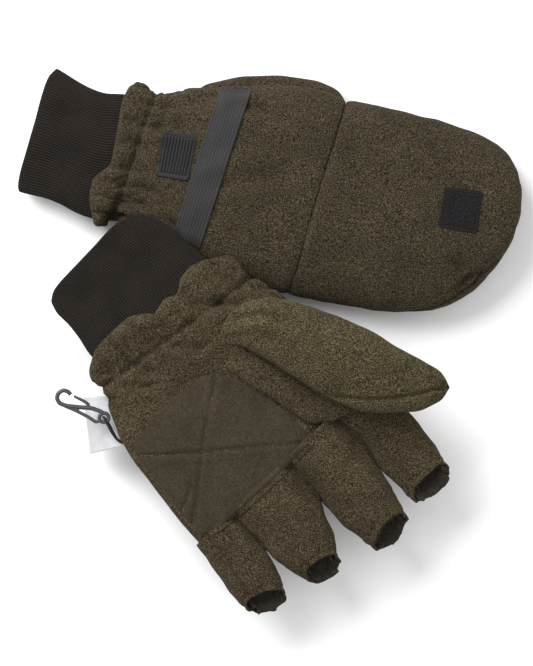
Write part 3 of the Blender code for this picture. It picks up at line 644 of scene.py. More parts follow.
def drop(tree, side, U, V, z0=90.0, miss=None):
    """Height of the surface under each (u, v) of a mitten."""
    W = world(side, np.stack([U, V, 0 * U + z0], -1)) * 1000
    flat = W.reshape(-1, 3)
    out = np.full(len(flat), np.nan)
    for i, p in enumerate(flat):
        hit = tree.ray_cast(Vector(p), Vector((0, 0, -1)))
        if hit[0] is not None:
            out[i] = hit[0][2]
    out = out.reshape(U.shape)
    if miss is not None:
        out = np.where(np.isnan(out), miss, out)
    return out


def blur(Z, s0, s1):
    for axis, s in ((0, s0), (1, s1)):
        if s <= 0:
            continue
        n = int(3 * s) + 1
        k = np.exp(-0.5 * (np.arange(-n, n + 1) / s) ** 2)
        k /= k.sum()
        Z = np.apply_along_axis(lambda y: np.convolve(np.pad(y, n, mode="edge"), k, mode="valid"), axis, Z)
    return Z


def stitches(name, lines, mat, length=2.0, gap=1.3, r=0.22, sides=6):
    """Threads that lie along lines in row-frame mm: each stitch is a short fat-middled tube."""
    V, F = [], []
    for pts in lines:
        pts = np.asarray(pts, float)
        d = np.r_[0, np.cumsum(np.linalg.norm(np.diff(pts, axis=0), axis=1))]
        s = 0.6
        while s + length < d[-1]:
            t = np.linspace(s, s + length, 5)
            c = np.stack([np.interp(t, d, pts[:, k]) for k in range(3)], -1)
            tan = c[-1] - c[0]
            tan /= np.linalg.norm(tan) + 1e-9
            a = np.cross(tan, [0, 0, 1.0])
            a /= np.linalg.norm(a) + 1e-9
            b = np.cross(a, tan)
            base = len(V)
            for k in range(5):
                rr = r * math.sin(PI * (0.12 + 0.76 * k / 4)) ** 0.6
                dz = -0.12 * abs(k - 2) ** 1.2
                for j in range(sides):
                    w = 2 * PI * j / sides
                    V.append((c[k] + a * rr * 1.2 * math.cos(w) + b * (rr * math.sin(w) + dz)) / 1000)
            for k in range(4):
                for j in range(sides):
                    j2 = (j + 1) % sides
                    F.append((base + k * sides + j, base + k * sides + j2, base + (k + 1) * sides + j2, base + (k + 1) * sides + j))
            F.append(tuple(base + j for j in range(sides))[::-1])
            F.append(tuple(base + 4 * sides + j for j in range(sides)))
            s += length + gap
    me = bpy.data.meshes.new(name)
    me.from_pydata([tuple(v) for v in V], [], F)
    me.update()
    me.polygons.foreach_set("use_smooth", [True] * len(me.polygons))
    ob = bpy.data.objects.new(name, me)
    bpy.context.scene.collection.objects.link(ob)
    me.materials.append(mat)
    return ob


def on_surface(tree, side, pts, lift, n=80):
    q = along(pts, np.linspace(0, 1, n), 0.8)
    z = drop(tree, side, q[:, 0], q[:, 1])
    good = ~np.isnan(z)
    q, z = q[good], z[good]
    return world(side, np.stack([q[:, 0], q[:, 1], z + lift], -1)) * 1000


HANDS = {}
for side in ("right", "left"):
    body = side + "_mitten"
    H = HAND[side]
    P, N, th = hand_ring(side)
    nt = len(th)
    half = nt // 2
    upper = np.r_[0:half + 1]
    lower = np.r_[half:nt, 0]
    mat = FLEECE_R if side == "right" else FLEECE_L_PAINTED_LIGHTER
    up_name, low_name = ("back_panel", "palm_panel") if side == "right" else ("palm_panel", "back_panel")
    o = panel(f"{side}_{up_name}_cloth", P, N, upper, 0.0, 1.6, side, mat)
    ride(o, body, "fleece", f"{side}_{up_name}")
    o2 = panel(f"{side}_{low_name}_cloth", P, N, lower, 0.0, 1.6, side, mat)
    ride(o2, body, "fleece", f"{side}_{low_name}")
    HANDS[side] = bvh_of(o)
    HANDS[side + "_low"] = bvh_of(o2)
    everything = np.r_[0:nt]
    inner = slice(44, len(P) - 2, 2)
    for nm, t0, t1, mt, sl in (("insulation", 1.9, 3.1, WADDING, "insulation"), ("lining", 3.4, 4.2, LINING, "lining")):
        a, b = P[inner][:, ::2], N[inner][:, ::2]
        x = slab(f"{side}_{nm}_layer", a - b * t0, a - b * t1, side, True, None, mt)
        ride(x, body, sl, f"{side}_{nm}")
    # the band of elastic lies inside the gathered line
    us = H["shir"](P[..., 1])
    row = np.argmin(np.abs(P[..., 0] - us).mean(1))
    a = P[row - 3:row + 4][:, ::2]
    c = a.mean(1, keepdims=True)
    x = slab(f"{side}_wrist_elastic_band", c + (a - c) * np.array([1, 0.86, 0.6]), c + (a - c) * np.array([1, 0.84, 0.5]), side, True, None, BAND)
    ride(x, body, "elastic", f"{side}_wrist_elastic")

    # ---- knit cuff: one modelled rib for each 1.5 mm of its girth
    dense = np.linspace(0, 2 * PI, 2000, endpoint=False)
    X, Y = section(dense, 0.75)
    vm = (H["cA"](20) + H["cB"](20)) / 2 + (H["cA"](20) - H["cB"](20)) / 2 * X
    zm = H["ch"] * Y
    ring = np.stack([vm, zm], -1)
    d = np.r_[0, np.cumsum(np.linalg.norm(np.diff(np.r_[ring, ring[:1]], axis=0), axis=1))]
    ribs = int(round(d[-1] / 1.5))
    ncol = ribs * 6
    tq = np.interp(np.arange(ncol) / ncol * d[-1], d, np.r_[dense, 2 * PI])
    X, Y = section(tq, 0.75)
    X, Y = X[None, :], Y[None, :]
    q = np.r_[0, 0.2, 0.6, 1.1, 1.8, np.arange(3, 62, 1.9)][:, None]
    u = H["mouth"](0) + q + 0 * X
    for _ in range(3):
        v = (H["cA"](u) + H["cB"](u)) / 2 + (H["cA"](u) - H["cB"](u)) / 2 * X
        m0 = H["mouth"](v) + 0.9 * vnoise(np.stack([v / 22, Y + 0 * v, 0 * v], -1), 77) + (2.4 if side == "right" else 4.6) * np.abs(X) ** 9
        u = m0 + q * (57.0 - m0) / q[-1]
    hz = H["ch"] * (1 + 0.10 * (1 - sstep(q, 0, 16)))
    z = H["cz"] + hz * Y
    C = np.stack([u, v, z], -1)
    CN = normals(C)
    if (CN[len(CN) // 2, :, 2] * Y[0]).sum() < 0:
        CN = -CN
    phase = 2 * PI * np.arange(ncol)[None, :] / 6
    rib = np.abs(np.cos(phase / 2)) ** 0.7
    roll = 1 - np.sqrt(np.clip(1 - (1 - np.clip(q / 1.6, 0, 1)) ** 2, 0, 1))
    Yv = Y * 2 + 0 * v
    near = 0.9 * vnoise(np.stack([u / 45, v / 13, Yv], -1), 41) + 0.45 * vnoise(np.stack([u / 14, v / 9, Yv], -1), 43)
    CD = 0.55 * (rib - 0.75) + near - 1.0 * roll
    Co = C + CN * CD[..., None]
    Ci = C + CN * (near - 2.2 + 0.9 * roll)[..., None]
    uvm = np.stack(np.broadcast_arrays(q / 1000.0, np.arange(ncol)[None, :] / 6 * 0.0015 + 0 * q), -1)
    x = slab(f"{side}_knit_cuff_ribbed", Co, Ci, side, True, uvm, KNIT)
    ride(x, body, "knit", f"{side}_knit_cuff")
    HANDS[side + "_cuff"] = bvh_of(x)


# ---------------------------------------------------------------- pillows: hoods, thumbs and finger sleeves
def tube(A, B, s, zt, zb, ze, th, p=0.8, sigma=3.0):
    """Rings between two edge lines in plan. s: shares of the length. th: ring angles, one row or one for each ring."""
    a, b = along(A, s, sigma), along(B, s, sigma)
    X, Y = section(th, p)
    if X.ndim == 1:
        X, Y = X[None, :], Y[None, :]
    mid, hf = (a + b) / 2, (a - b) / 2
    uv = mid[:, None, :] + hf[:, None, :] * X[..., None]
    zt, zb, ze = (np.asarray(k, float)[:, None] for k in (zt, zb, ze))
    z = np.where(Y >= 0, ze + (zt - ze) * Y, ze + (ze - zb) * Y)
    return np.concatenate([uv, z[..., None]], -1), X, Y


def outward(P, wrap):
    N = normals(P, wrap)
    c = P.mean(1, keepdims=True)
    if ((P - c) * N).sum() < 0:
        N = -N
    return N


def hood(side):
    if side == "right":
        A = [(172.6, 43.6), (189.9, 44), (208.6, 42.6), (227.3, 40.7), (249, 37.5), (265, 31.0), (275, 21.0), (280.2, 8.2), (281.2, -5)]
        B = [(156.8, -71), (174.7, -72.5), (190, -73), (206, -73), (222, -71.2), (236, -68.2), (249, -62.6), (261, -53.0), (271, -39), (277.6, -24), (281.2, -5)]
        zt0, zb0, ze0, flat = 31.4, 0.3, 13.5, 34.0
    else:
        A = [(168.6, 59), (180, 60), (192, 60), (210, 57), (230, 50), (248, 39), (261, 24), (269, 8), (272, -9)]
        B = [(160.3, -75.5), (180, -76.5), (200, -76), (220, -75), (235, -72), (248, -66), (258, -57), (266, -44), (271, -28), (272, -9)]
        zt0, zb0, ze0, flat = 21.2, 0.4, 9.5, 30.0
    n = 92
    s = 1 - (1 - np.linspace(0, 1, n)) ** 1.45
    d = (1 - s) * 122.0
    g = (1 - (1 - np.clip(d / flat, 0, 1)) ** 2.3) ** (1 / 2.0)
    zt, zb = ze0 + (zt0 - ze0) * g, ze0 + (zb0 - ze0) * g
    lift = 4.6 * sstep(d, 0, 10) * 0 + 0
    k = np.linspace(0, 1, 118)
    split = PI - (0.62 * np.exp(-((s - 0.72) / 0.2) ** 2) if side == "right" else 0 * s)
    th_up = split[:, None] * k[None, :]
    th_low = split[:, None] + (2 * PI - split)[:, None] * k[None, :]
    out = {}
    for key, th in (("up", th_up), ("low", th_low)):
        P, X, Y = tube(A, B, s, zt, zb, ze0 + 0 * s, th, 0.8)
        if side == "right":
            pass
        N = outward(P, False)
        u, v, z = P[..., 0], P[..., 1], P[..., 2]
        D = 0.8 * fbm(P / np.array([36.0, 30.0, 40.0]), 61 if side == "right" else 66, 3)
        D += 0.35 * fbm(P / np.array([9.0, 7.0, 10.0]), 71, 2)
        D -= 1.0 * gauss(u - hinge_u(side, v), 1.6)
        arc = (k * 1.0)[None, :] * 150.0
        edge = np.minimum(arc, 150.0 - arc)
        D -= 1.7 * gauss(edge, 1.7)
        if key == "up" and side == "right":
            for pts, depth, width in (([(251, -54), (256, -47), (263, -42)], 2.6, 1.8), ([(256, -47), (252, -41), (245, -37)], 2.0, 2.2),
                                      ([(176, 30), (190, 22), (206, 20)], 0.7, 5.0), ([(172, -50), (188, -44), (204, -46)], 0.7, 5.0),
                                      ([(214, 34), (232, 26), (244, 14)], 0.6, 5.0), ([(228, -30), (240, -44), (248, -54)], 0.7, 4.0)):
                dd, t = line_distance(u, v, pts)
                D -= depth * np.sin(PI * np.clip(t * 0.8 + 0.1, 0, 1)) ** 0.5 * (gauss(dd, width) - 0.35 * gauss(dd - 2 * width, width))
        if side == "left":
            D += 1.1 * fbm(P / np.array([22.0, 13.0, 20.0]), 91, 2)
        if key == "up":
            D = np.minimum(D, 0.7)
        P = P + N * D[..., None]
        P[..., 2] = np.maximum(P[..., 2], 0.25)
        N = outward(P, False)
        out[key] = (P, N)
    if side == "left":
        h0, dd = np.array([164.5, -9.0]), np.array([0.061, 1.0]) / math.hypot(0.061, 1)
        for key, (P, N) in out.items():
            for M, base in ((P, h0), (N, np.zeros(2))):
                r = M[..., :2] - base
                M[..., :2] = base + 2 * (r @ dd)[..., None] * dd - r
    return out, s


HOODS = {}
for side in ("right", "left"):
    mb, hb = side + "_mitten", side + "_hood"
    parts, s = hood(side)
    mat = FLEECE_R if side == "right" else FLEECE_L_PAINTED_LIGHTER
    sgn = 1 if side == "right" else -1
    hz = 31.8 if side == "right" else 22.3
    start = world(side, (hinge_u(side, -10) + 0.0, -10, hz))
    end = world(side, (hinge_u(side, -10) + sgn * 10.0, -10, hz))
    P, N = parts["up"]
    o = slab(f"{side}_hood_back_cloth", P, P - N * 1.5, side, False, arc_uv(P), mat)
    HOODS[side] = bvh_of(o)
    bend(o, mb, hb, start, end, "fleece", f"{side}_hood_back")
    L = slab(f"{side}_hood_lining_layer", (P - N * 1.75)[::2, ::2], (P - N * 2.45)[::2, ::2], side, False, None, LINING)
    bend(L, mb, hb, start, end, "lining", f"{side}_hood_lining")
    P, N = parts["low"]
    i0 = int(np.searchsorted(s, 0.19))
    o = slab(f"{side}_hood_palm_flap_cloth", P[i0:], (P - N * 1.5)[i0:], side, False, arc_uv(P[i0:]), mat)
    HOODS[side + "_low"] = bvh_of(o)
    ride(o, hb, "fleece", f"{side}_hood_palm_flap")


def finger(name, A, B, ztop, zbot, side, body, parent, mat, node, seed, strip=-0.5, curl=None, lip=5.8, lining=True, inner=(0, 0)):
    n = 52
    s = np.linspace(0, 1, n)
    nt = 84
    th = np.linspace(0, 2 * PI, nt, endpoint=False)
    zt = np.interp(s, [0, 1], ztop)
    zb = np.interp(s, [0, 1], zbot)
    ze = (zt + zb) / 2 - 0.5
    P, X, Y = tube(A, B, s, zt, zb, ze, th, 0.85, 2.5)
    tan = np.gradient(P.mean(1), axis=0)
    tan /= np.linalg.norm(tan, axis=1, keepdims=True)
    tip = sstep(s, 0.62, 1.0)[:, None]
    # upper lip is set back, lower lip runs on, and both are uneven
    wob = vnoise(np.stack([np.cos(th) * 1.6, np.sin(th) * 1.6, 0 * th + seed], -1), 13)[None, :]
    P = P + tan[:, None, :] * (tip * (-lip * Y + 1.4 * wob))[..., None]
    N = outward(P, True)
    D = 0.55 * fbm(P / np.array([11.0, 9.0, 11.0]), seed, 3)
    D += sstep(s, 0.72, 1.0)[:, None] * 1.2 * fbm(np.stack([np.cos(th) * 2.4 + 0 * P[..., 0], np.sin(th) * 2.4 + 0 * P[..., 0], P[..., 0] / 9.0], -1), seed + 3, 2)
    if strip is not None:
        up = (Y > 0)
        D = D - 1.7 * gauss((X - strip) * np.linalg.norm((P[:, 0] - P[:, nt // 2])[:, :2], axis=1)[:, None] / 2, 0.95) * up
        D = D - 0.3 * gauss((X - 0.97) * 10, 1.2)
    # the creases that run up from the crotches
    for sg, on in ((1, inner[0]), (-1, inner[1])):
        if on:
            D = D - 3.2 * sstep(sg * X, 0.5, 0.86) * (1 - sstep(s, 0.3, 0.62))[:, None] * (Y > 0)
    D -= 0.7 * gauss((1 - s)[:, None] * 60 - 3.5, 1.3)  # hem stitching near the mouth
    P = P + N * D[..., None]
    N = outward(P, True)
    thick = 1.5
    Pi = P - N * thick
    o = slab(name, P, Pi, side, True, None, mat)
    cr = 0.15 + sstep(s, 0.68, 1.0)[:, None] * (1.5 + 1.9 * np.abs(vnoise(np.stack([np.cos(th) * 3.1 + 0 * P[..., 0], np.sin(th) * 3.1 + 0 * P[..., 0], s[:, None] * 7 + 0 * P[..., 0]], -1), seed + 9)))
    extra = slab(name + "_lining", (P - N * (thick + cr)[..., None])[6:], (P - N * (thick + cr + 0.6)[..., None])[6:], side, True, None, LINING) if lining else None
    made = [o] + ([extra] if extra else [])
    if parent:
        st, en = world(side, (*((np.array(A[0]) + np.array(B[0])) / 2), 34)), None
        c0 = (np.array(A[0]) + np.array(B[0])) / 2
        en = world(side, (c0[0] + 15, c0[1] + 0.0, 34))
        bend(o, parent, body, st, en, "fleece", node)
        if extra:
            bend(extra, parent, body, st, en, "lining")
    else:
        ride(o, body, "fleece", node)
        if extra:
            ride(extra, body, "lining")
    return [o]


FING = {
    "little": ([(160, -45.5), (170, -46.0), (180, -49.0), (188, -51.8), (196.4, -54.4), (201, -55.8), (207.5, -59.0), (213, -62.2)],
               [(158.5, -78), (170, -79.6), (177.4, -81.0), (190.2, -84.0), (200.5, -85.2), (205, -84.0)], 7),
    "ring": ([(161, -3), (172, -4), (178, -5.4), (187, -8.6), (195.9, -12.8), (208.3, -17.9), (222.5, -26.0)],
             [(160, -55.5), (170, -54.5), (180, -53.4), (188, -52.8), (196.4, -53.4), (206.7, -51.6), (217.5, -48.4)], 17),
    "middle": ([(162, 33), (176, 32.6), (186.4, 31.2), (192.3, 29.4), (198.7, 28.0), (205, 25.6), (215.9, 23.0), (232.4, 16.4)],
               [(161, -14.5), (172, -13.5), (184, -11.4), (192, -11.0), (203.2, -11.4), (214.4, -11.8), (233.0, -9.0)], 27),
    "index": ([(164, 59.5), (182.9, 60.6), (194.9, 60.8), (211.7, 58.4), (231.0, 54.0)],
              [(163, 24), (176, 25), (186.4, 27.2), (192.3, 27.0), (198.7, 25.8), (205, 25.0), (212, 25.4), (219.1, 25.8), (230.5, 26.8)], 37),
}
TOPS = {"little": (43.4, 41.6), "ring": (47.0, 44.0), "middle": (45.0, 43.0), "index": (42.4, 40.6)}
FINGERS = []
for nm, (A, B, seed) in FING.items():
    FINGERS += finger(f"left_{nm}_sleeve_cloth", A, B, TOPS[nm], (26.0, 28.4), "left", f"left_{nm}_finger", "left_mitten", FLEECE_L_PAINTED_LIGHTER, f"left_{nm}_finger_sleeve", seed, inner=(nm != "index", nm != "little"))
for nm, v, tip, w0, w1, seed in (("index", 26, (230, 22), 12.0, 10.4, 47), ("middle", 0.8, (235, -2.5), 12.4, 11.2, 57), ("ring", -25, (229, -27.5), 12.6, 11.4, 67), ("little", -50, (215, -51.5), 11.6, 10.8, 77)):
    u0 = hinge_u("right", v) + 1.5
    finger(f"right_{nm}_sleeve_cloth", [(u0, v + w0), ((u0 + tip[0]) / 2, (v + tip[1]) / 2 + (w0 + w1) / 2), (tip[0], tip[1] + w1)],
           [(u0, v - w0), ((u0 + tip[0]) / 2, (v + tip[1]) / 2 - (w0 + w1) / 2), (tip[0], tip[1] - w1)],
           (23.6, 22.8), (6.8, 7.6), "right", "right_mitten", None, FLEECE_R, f"right_{nm}_finger_sleeve", seed)


def thumb(side):
    if side == "left":
        A = [(88.0, 14.0), (80.5, 27.0), (82.4, 38.0), (89.4, 51.0), (106.0, 62.4), (124.4, 71.2), (144.8, 78.4), (164.3, 82.0), (179.5, 87.0), (191.0, 89.2), (199.0, 85.5)]
        B = [(91.0, 14.5), (98.0, 21.4), (113.1, 26.0), (131.9, 29.4), (150.0, 33.4), (164.0, 38.0), (173.0, 40.5), (186.4, 53.0), (196.6, 64.8), (200.6, 77.0), (199.0, 85.5)]
        mat, seed = FLEECE_T_PAINTED_LIGHTER, 101
    else:
        A = [(86, 22), (83, 31), (90, 40.6), (110, 48.4), (133, 52.6), (155, 53.2), (168, 49), (175, 38)]
        B = [(88, 20), (92, 10), (104, 5), (130, 5), (155, 13), (169, 24), (175, 38)]
        mat, seed = FLEECE_R, 111
    n = 110
    t = np.linspace(0, 1, n)
    s = t - 0.12 * np.sin(2 * PI * t) / (2 * PI)
    s = 1 - (1 - t) ** 1.25
    L = 128.0 if side == "left" else 92.0
    d1, d0 = (1 - s) * L, s * L
    g = (1 - (1 - np.clip(d1 / 22, 0, 1)) ** 2.2) ** 0.5
    if side == "left":
        ze = np.interp(d0, [0, 8, 18, 34, 60, 200], [42.5, 46.0, 50.0, 53.2, 54.4, 54.4])
        hu = np.interp(d0, [0, 3, 8, 16, 30, 60, 200], [0.4, 2.4, 4.2, 5.6, 7.0, 7.8, 7.6])
        hl = np.interp(d0, [0, 3, 8, 16, 30, 60, 200], [0.4, 3.0, 5.0, 6.2, 7.0, 7.4, 7.2])
        from_top = blur(ze[:, None], 3, 0)[:, 0]
        ze = from_top
        zt, zb = ze + hu * g, ze - hl * g
    else:
        ze = 7.6 + 0 * s
        b = np.sqrt(np.clip(1 - (1 - np.clip(d0 / 12, 0, 1)) ** 2, 0.001, 1))
        zt, zb = ze + 7.2 * g * b, ze - 7.2 * g * b
    nt = 150
    th = np.linspace(0, 2 * PI, nt, endpoint=False)
    P, X, Y = tube(A, B, s, zt, zb, ze, th, 0.82, 3.0)
    N = outward(P, True)
    u, v = P[..., 0], P[..., 1]
    D = 0.75 * fbm(P / np.array([30.0, 22.0, 26.0]), seed, 3) * sstep(d0, 4, 20)[:, None]
    if side == "left":
        up = (Y > -0.1)
        dist, tt = line_distance(u, v, [(148.0, 33.0), (156.0, 37.0), (168.7, 46.6), (178.0, 56.0), (187.2, 68.0), (198.6, 86.0)])
        D = D - up * 1.9 * gauss(dist, 1.35) * sstep(tt, 0.0, 0.2)
        # the strip below the seam turns down and under
        for pts, depth, width in (([(84, 26), (88, 34), (97, 44), (112, 50)], 1.9, 2.6), ([(90, 18), (98, 28), (110, 34)], 0.9, 3.6),
                                  ([(120, 62), (136, 56), (152, 60)], 0.8, 6.0), ([(130, 40), (150, 50), (168, 66)], 0.6, 6.0), ([(160, 76), (172, 72), (184, 78)], 0.7, 5.0)):
            dd, t2 = line_distance(u, v, pts)
            D = D - up * depth * np.sin(PI * np.clip(t2 * 0.84 + 0.08, 0, 1)) ** 0.5 * (gauss(dd, width) - 0.4 * gauss(dd - 2 * width, width))
    P = P + N * D[..., None]
    N = outward(P, True)
    Pi = P - N * np.minimum(1.6, 0.35 * np.minimum(g, 1)[:, None] * 8 + 0.2)[..., None]
    o = slab(f"{side}_thumb_sleeve_cloth", P, Pi, side, True, None, mat)
    c = 97 if side == "left" else 99
    z = 54 if side == "left" else 7.6
    dirn = (0.80, 0.60) if side == "left" else (1.0, 0.1)
    tree = bvh_of(o)
    bend(o, side + "_mitten", side + "_thumb", world(side, (c, 27, z)), world(side, (c + 26 * dirn[0], 27 + 26 * dirn[1], z)), "fleece", f"{side}_thumb_sleeve")
    if side == "left":
        # the gusset between the thumb and the palm patch
        n = 60
        s = 1 - (1 - np.linspace(0, 1, n)) ** 1.2
        B2 = [(99, 6.0), (109.7, 8.4), (135.1, 12.2), (156.1, 16.4), (165.1, 24.7), (169.6, 36.0), (168, 46)]
        A2 = [(99, 15), (112, 28), (135, 38), (156, 44), (166, 48), (168, 46)]
        g = np.sin(PI * np.clip(s, 0.012, 0.988)) ** 0.55
        P, X, Y = tube(A2, B2, s, 42.6 + 3.6 * g, 42.6 - 4.4 * g, 42.6 + 0 * s, np.linspace(0, 2 * PI, 96, endpoint=False), 0.85, 3.0)
        N = outward(P, True)
        D = 0.7 * fbm(P / np.array([15.0, 12.0, 15.0]), 141, 3)
        dd, t2 = line_distance(P[..., 0], P[..., 1], [(120, 16), (140, 24), (154, 34)])
        D = D - 1.3 * gauss(dd, 1.8) + 0.5 * gauss(dd - 4, 2.5)
        P = P + N * D[..., None]
        N = outward(P, True)
        o = slab("left_thumb_gusset_cloth", P, P - N * np.minimum(1.4, 3 * g)[:, None, None], side, True, None, FLEECE_L_PAINTED_LIGHTER)
        bend(o, side + "_mitten", side + "_thumb", world(side, (c, 27, z)), world(side, (c + 26 * dirn[0], 27 + 26 * dirn[1], z)), "fleece")
    return tree


THUMB = thumb("left")
thumb("right")


# ---------------------------------------------------------------- palm patches
def patch(side, quad, tree, up, name, mat, lift=0.35, thick=0.7, lines=(), edges=None):
    """A panel that lies on the hand, following its surface."""
    (a, b, c, d) = [np.array(k, float) for k in quad]
    n, m = 74, 84
    s, t = np.linspace(0, 1, n)[:, None], np.linspace(0, 1, m)[None, :]
    if edges is None:
        edges = ([a, b], [d, c], [a, d], [b, c])
    ab, dc = (along(k, np.linspace(0, 1, m), 2.0)[None] for k in edges[:2])
    ad, bc = (along(k, np.linspace(0, 1, n), 2.0)[:, None] for k in edges[2:])
    s3, t3 = s[..., None], t[..., None]
    UV = (1 - s3) * ab + s3 * dc + (1 - t3) * ad + t3 * bc - ((1 - s3) * (1 - t3) * a + (1 - s3) * t3 * b + s3 * t3 * c + s3 * (1 - t3) * d)
    U, V = UV[..., 0], UV[..., 1]
    bow = 0
    if up:
        Z = drop(tree, side, U, V + bow, 90.0)
    else:
        W = world(side, np.stack([U, V, 0 * U - 20], -1)) * 1000
        Z = np.array([(lambda h: h[0][2] if h[0] is not None else np.nan)(tree.ray_cast(Vector(p), Vector((0, 0, 1)))) for p in W.reshape(-1, 3)]).reshape(U.shape)
    fill = np.nanmedian(Z)
    Z = np.where(np.isnan(Z), fill, Z)
    sg = 1 if up else -1
    e = np.minimum(np.minimum(s, 1 - s) * 75, np.minimum(t, 1 - t) * 82)
    H = lift * np.ones_like(U)
    H -= 1.15 * gauss(e - 1.8, 0.9)
    H += 0.25 * sstep(e, 2.5, 8)
    for pts in lines:
        dd, tt = line_distance(U, V, pts)
        H -= 0.95 * gauss(dd, 1.0) - 0.35 * gauss(dd - 3.2, 2.2)
    H += 0.16 * fbm(np.stack([U / 7, V / 7, 0 * U], -1), 131, 2)
    top = np.stack([U, V, Z + sg * H], -1)
    bot = np.stack([U, V, Z + sg * (H - thick)], -1)
    if not up:
        top[..., 2] = np.maximum(top[..., 2], 0.2)
        bot[..., 2] = np.maximum(bot[..., 2], 0.2 + 0.4)
    return slab(name, top, bot, side, False, arc_uv(top), mat), top


QL = [(90.0, -61.4), (97.4, 0.8), (166.5, 11.5), (159.0, -74.4)]
EDGES = ([QL[0], (88.3, -44), (88.6, -26.6), (90.6, -11.0), QL[1]], [QL[3], (163.2, -60), (165.2, -46.4), (167.0, -14.3), QL[2]],
         [QL[0], (98, -66.8), (114, -69.4), (140, -73.4), QL[3]], [QL[1], (110.1, 8.6), (132.9, 14.0), (157.0, 15.6), QL[2]])
cross = [[(98, -66.0), (123.8, -38.4), (137.3, -21.8), QL[2]], [(98.6, 2.0), (117.3, -27.1), (132.2, -47.8), (150.8, -72.0)]]
PALM = bvh_of(bpy.data.objects["left_palm_panel_cloth"], *FINGERS)
o, TOP = patch("left", QL, PALM, True, "left_palm_patch_suede", SUEDE, lines=cross + [[(130, -52), (136, -60), (141, -72)]], edges=EDGES)
ride(o, "left_mitten", "suede", "left_palm_patch")
LP = bvh_of(o)
QR = [(80, -42), (88, -8), (157, -8), (154, -56)]
o, _ = patch("right", QR, HANDS["right_low"], False, "right_palm_patch_suede", SUEDE, lines=[[QR[0], QR[2]], [QR[1], QR[3]]])
ride(o, "right_mitten", "suede", "right_palm_patch")


# ---------------------------------------------------------------- straps, tapes
def strap(side, c0, c1, half, tree, up, name, slant=0.0):
    c0, c1 = np.array(c0, float), np.array(c1, float)
    L = np.linalg.norm(c1 - c0)
    d = (c1 - c0) / L
    w = np.array([d[1], -d[0]])
    n, m = int(L / 0.75), 83
    s = np.linspace(0, L, n)[:, None]
    x = np.linspace(-half, half, m)[None, :]
    sl = s + (slant * (s / L) - 1.6 * (1 - s / L)) * x / half
    U = c0[0] + d[0] * sl + w[0] * x
    V = c0[1] + d[1] * sl + w[1] * x
    if up:
        Z = drop(tree, side, U, V)
    else:
        W = world(side, np.stack([U, V, 0 * U - 20], -1)) * 1000
        Z = np.array([(lambda h: h[0][2] if h[0] is not None else np.nan)(tree.ray_cast(Vector(p), Vector((0, 0, 1)))) for p in W.reshape(-1, 3)]).reshape(U.shape)
        Z = -Z
    for j in range(m):
        col = Z[:, j]
        good = ~np.isnan(col)
        if good.any():
            Z[:, j] = np.interp(np.arange(n), np.arange(n)[good], col[good])
    S = blur(Z, 9.0, 5.0)
    S = np.maximum(S, Z + 0.15)
    S = blur(S, 2.5, 4.0) + 1.0
    end = np.minimum(s, L - s)
    S = S - 1.5 * (1 - sstep(end, 0, 5))
    edge = half - np.abs(x)
    rib = 0.34 * np.abs(np.sin(PI * edge / 1.72)) ** 0.6 + 0.08 * vnoise(np.stack([s / 1.0 + 0 * x, x / 0.8 + 0 * s, 0 * s + 0 * x], -1), 3)
    Hh = S + rib + 0.25 * vnoise(np.stack([s / 11 + 0 * x, x / 20 + 0 * s, 0 * s + 0 * x], -1), 8)
    sg = 1 if up else -1
    top = np.stack([U, V, sg * Hh], -1)
    bot = np.stack([U, V, sg * (Hh - 0.9)], -1)
    if not up:
        pass
    uv = np.stack(np.broadcast_arrays(s / 1000.0, x / 1000.0), -1)
    o = slab(name, top, bot, side, False, uv, ELASTIC)
    return o, L, half * 2


o, L, Wd = strap("right", (94.9, -50.5), (109.2, 39.9), 8.6, HANDS["right"], True, "right_stowage_strap_web", 2.2)
ride(o, "right_mitten", "elastic", "right_stowage_strap")
o, L, Wd = strap("left", (96.5, -57), (106, 49), 8.0, HANDS["left_low"], False, "left_stowage_strap_web")
ride(o, "left_mitten", "elastic", "left_stowage_strap")


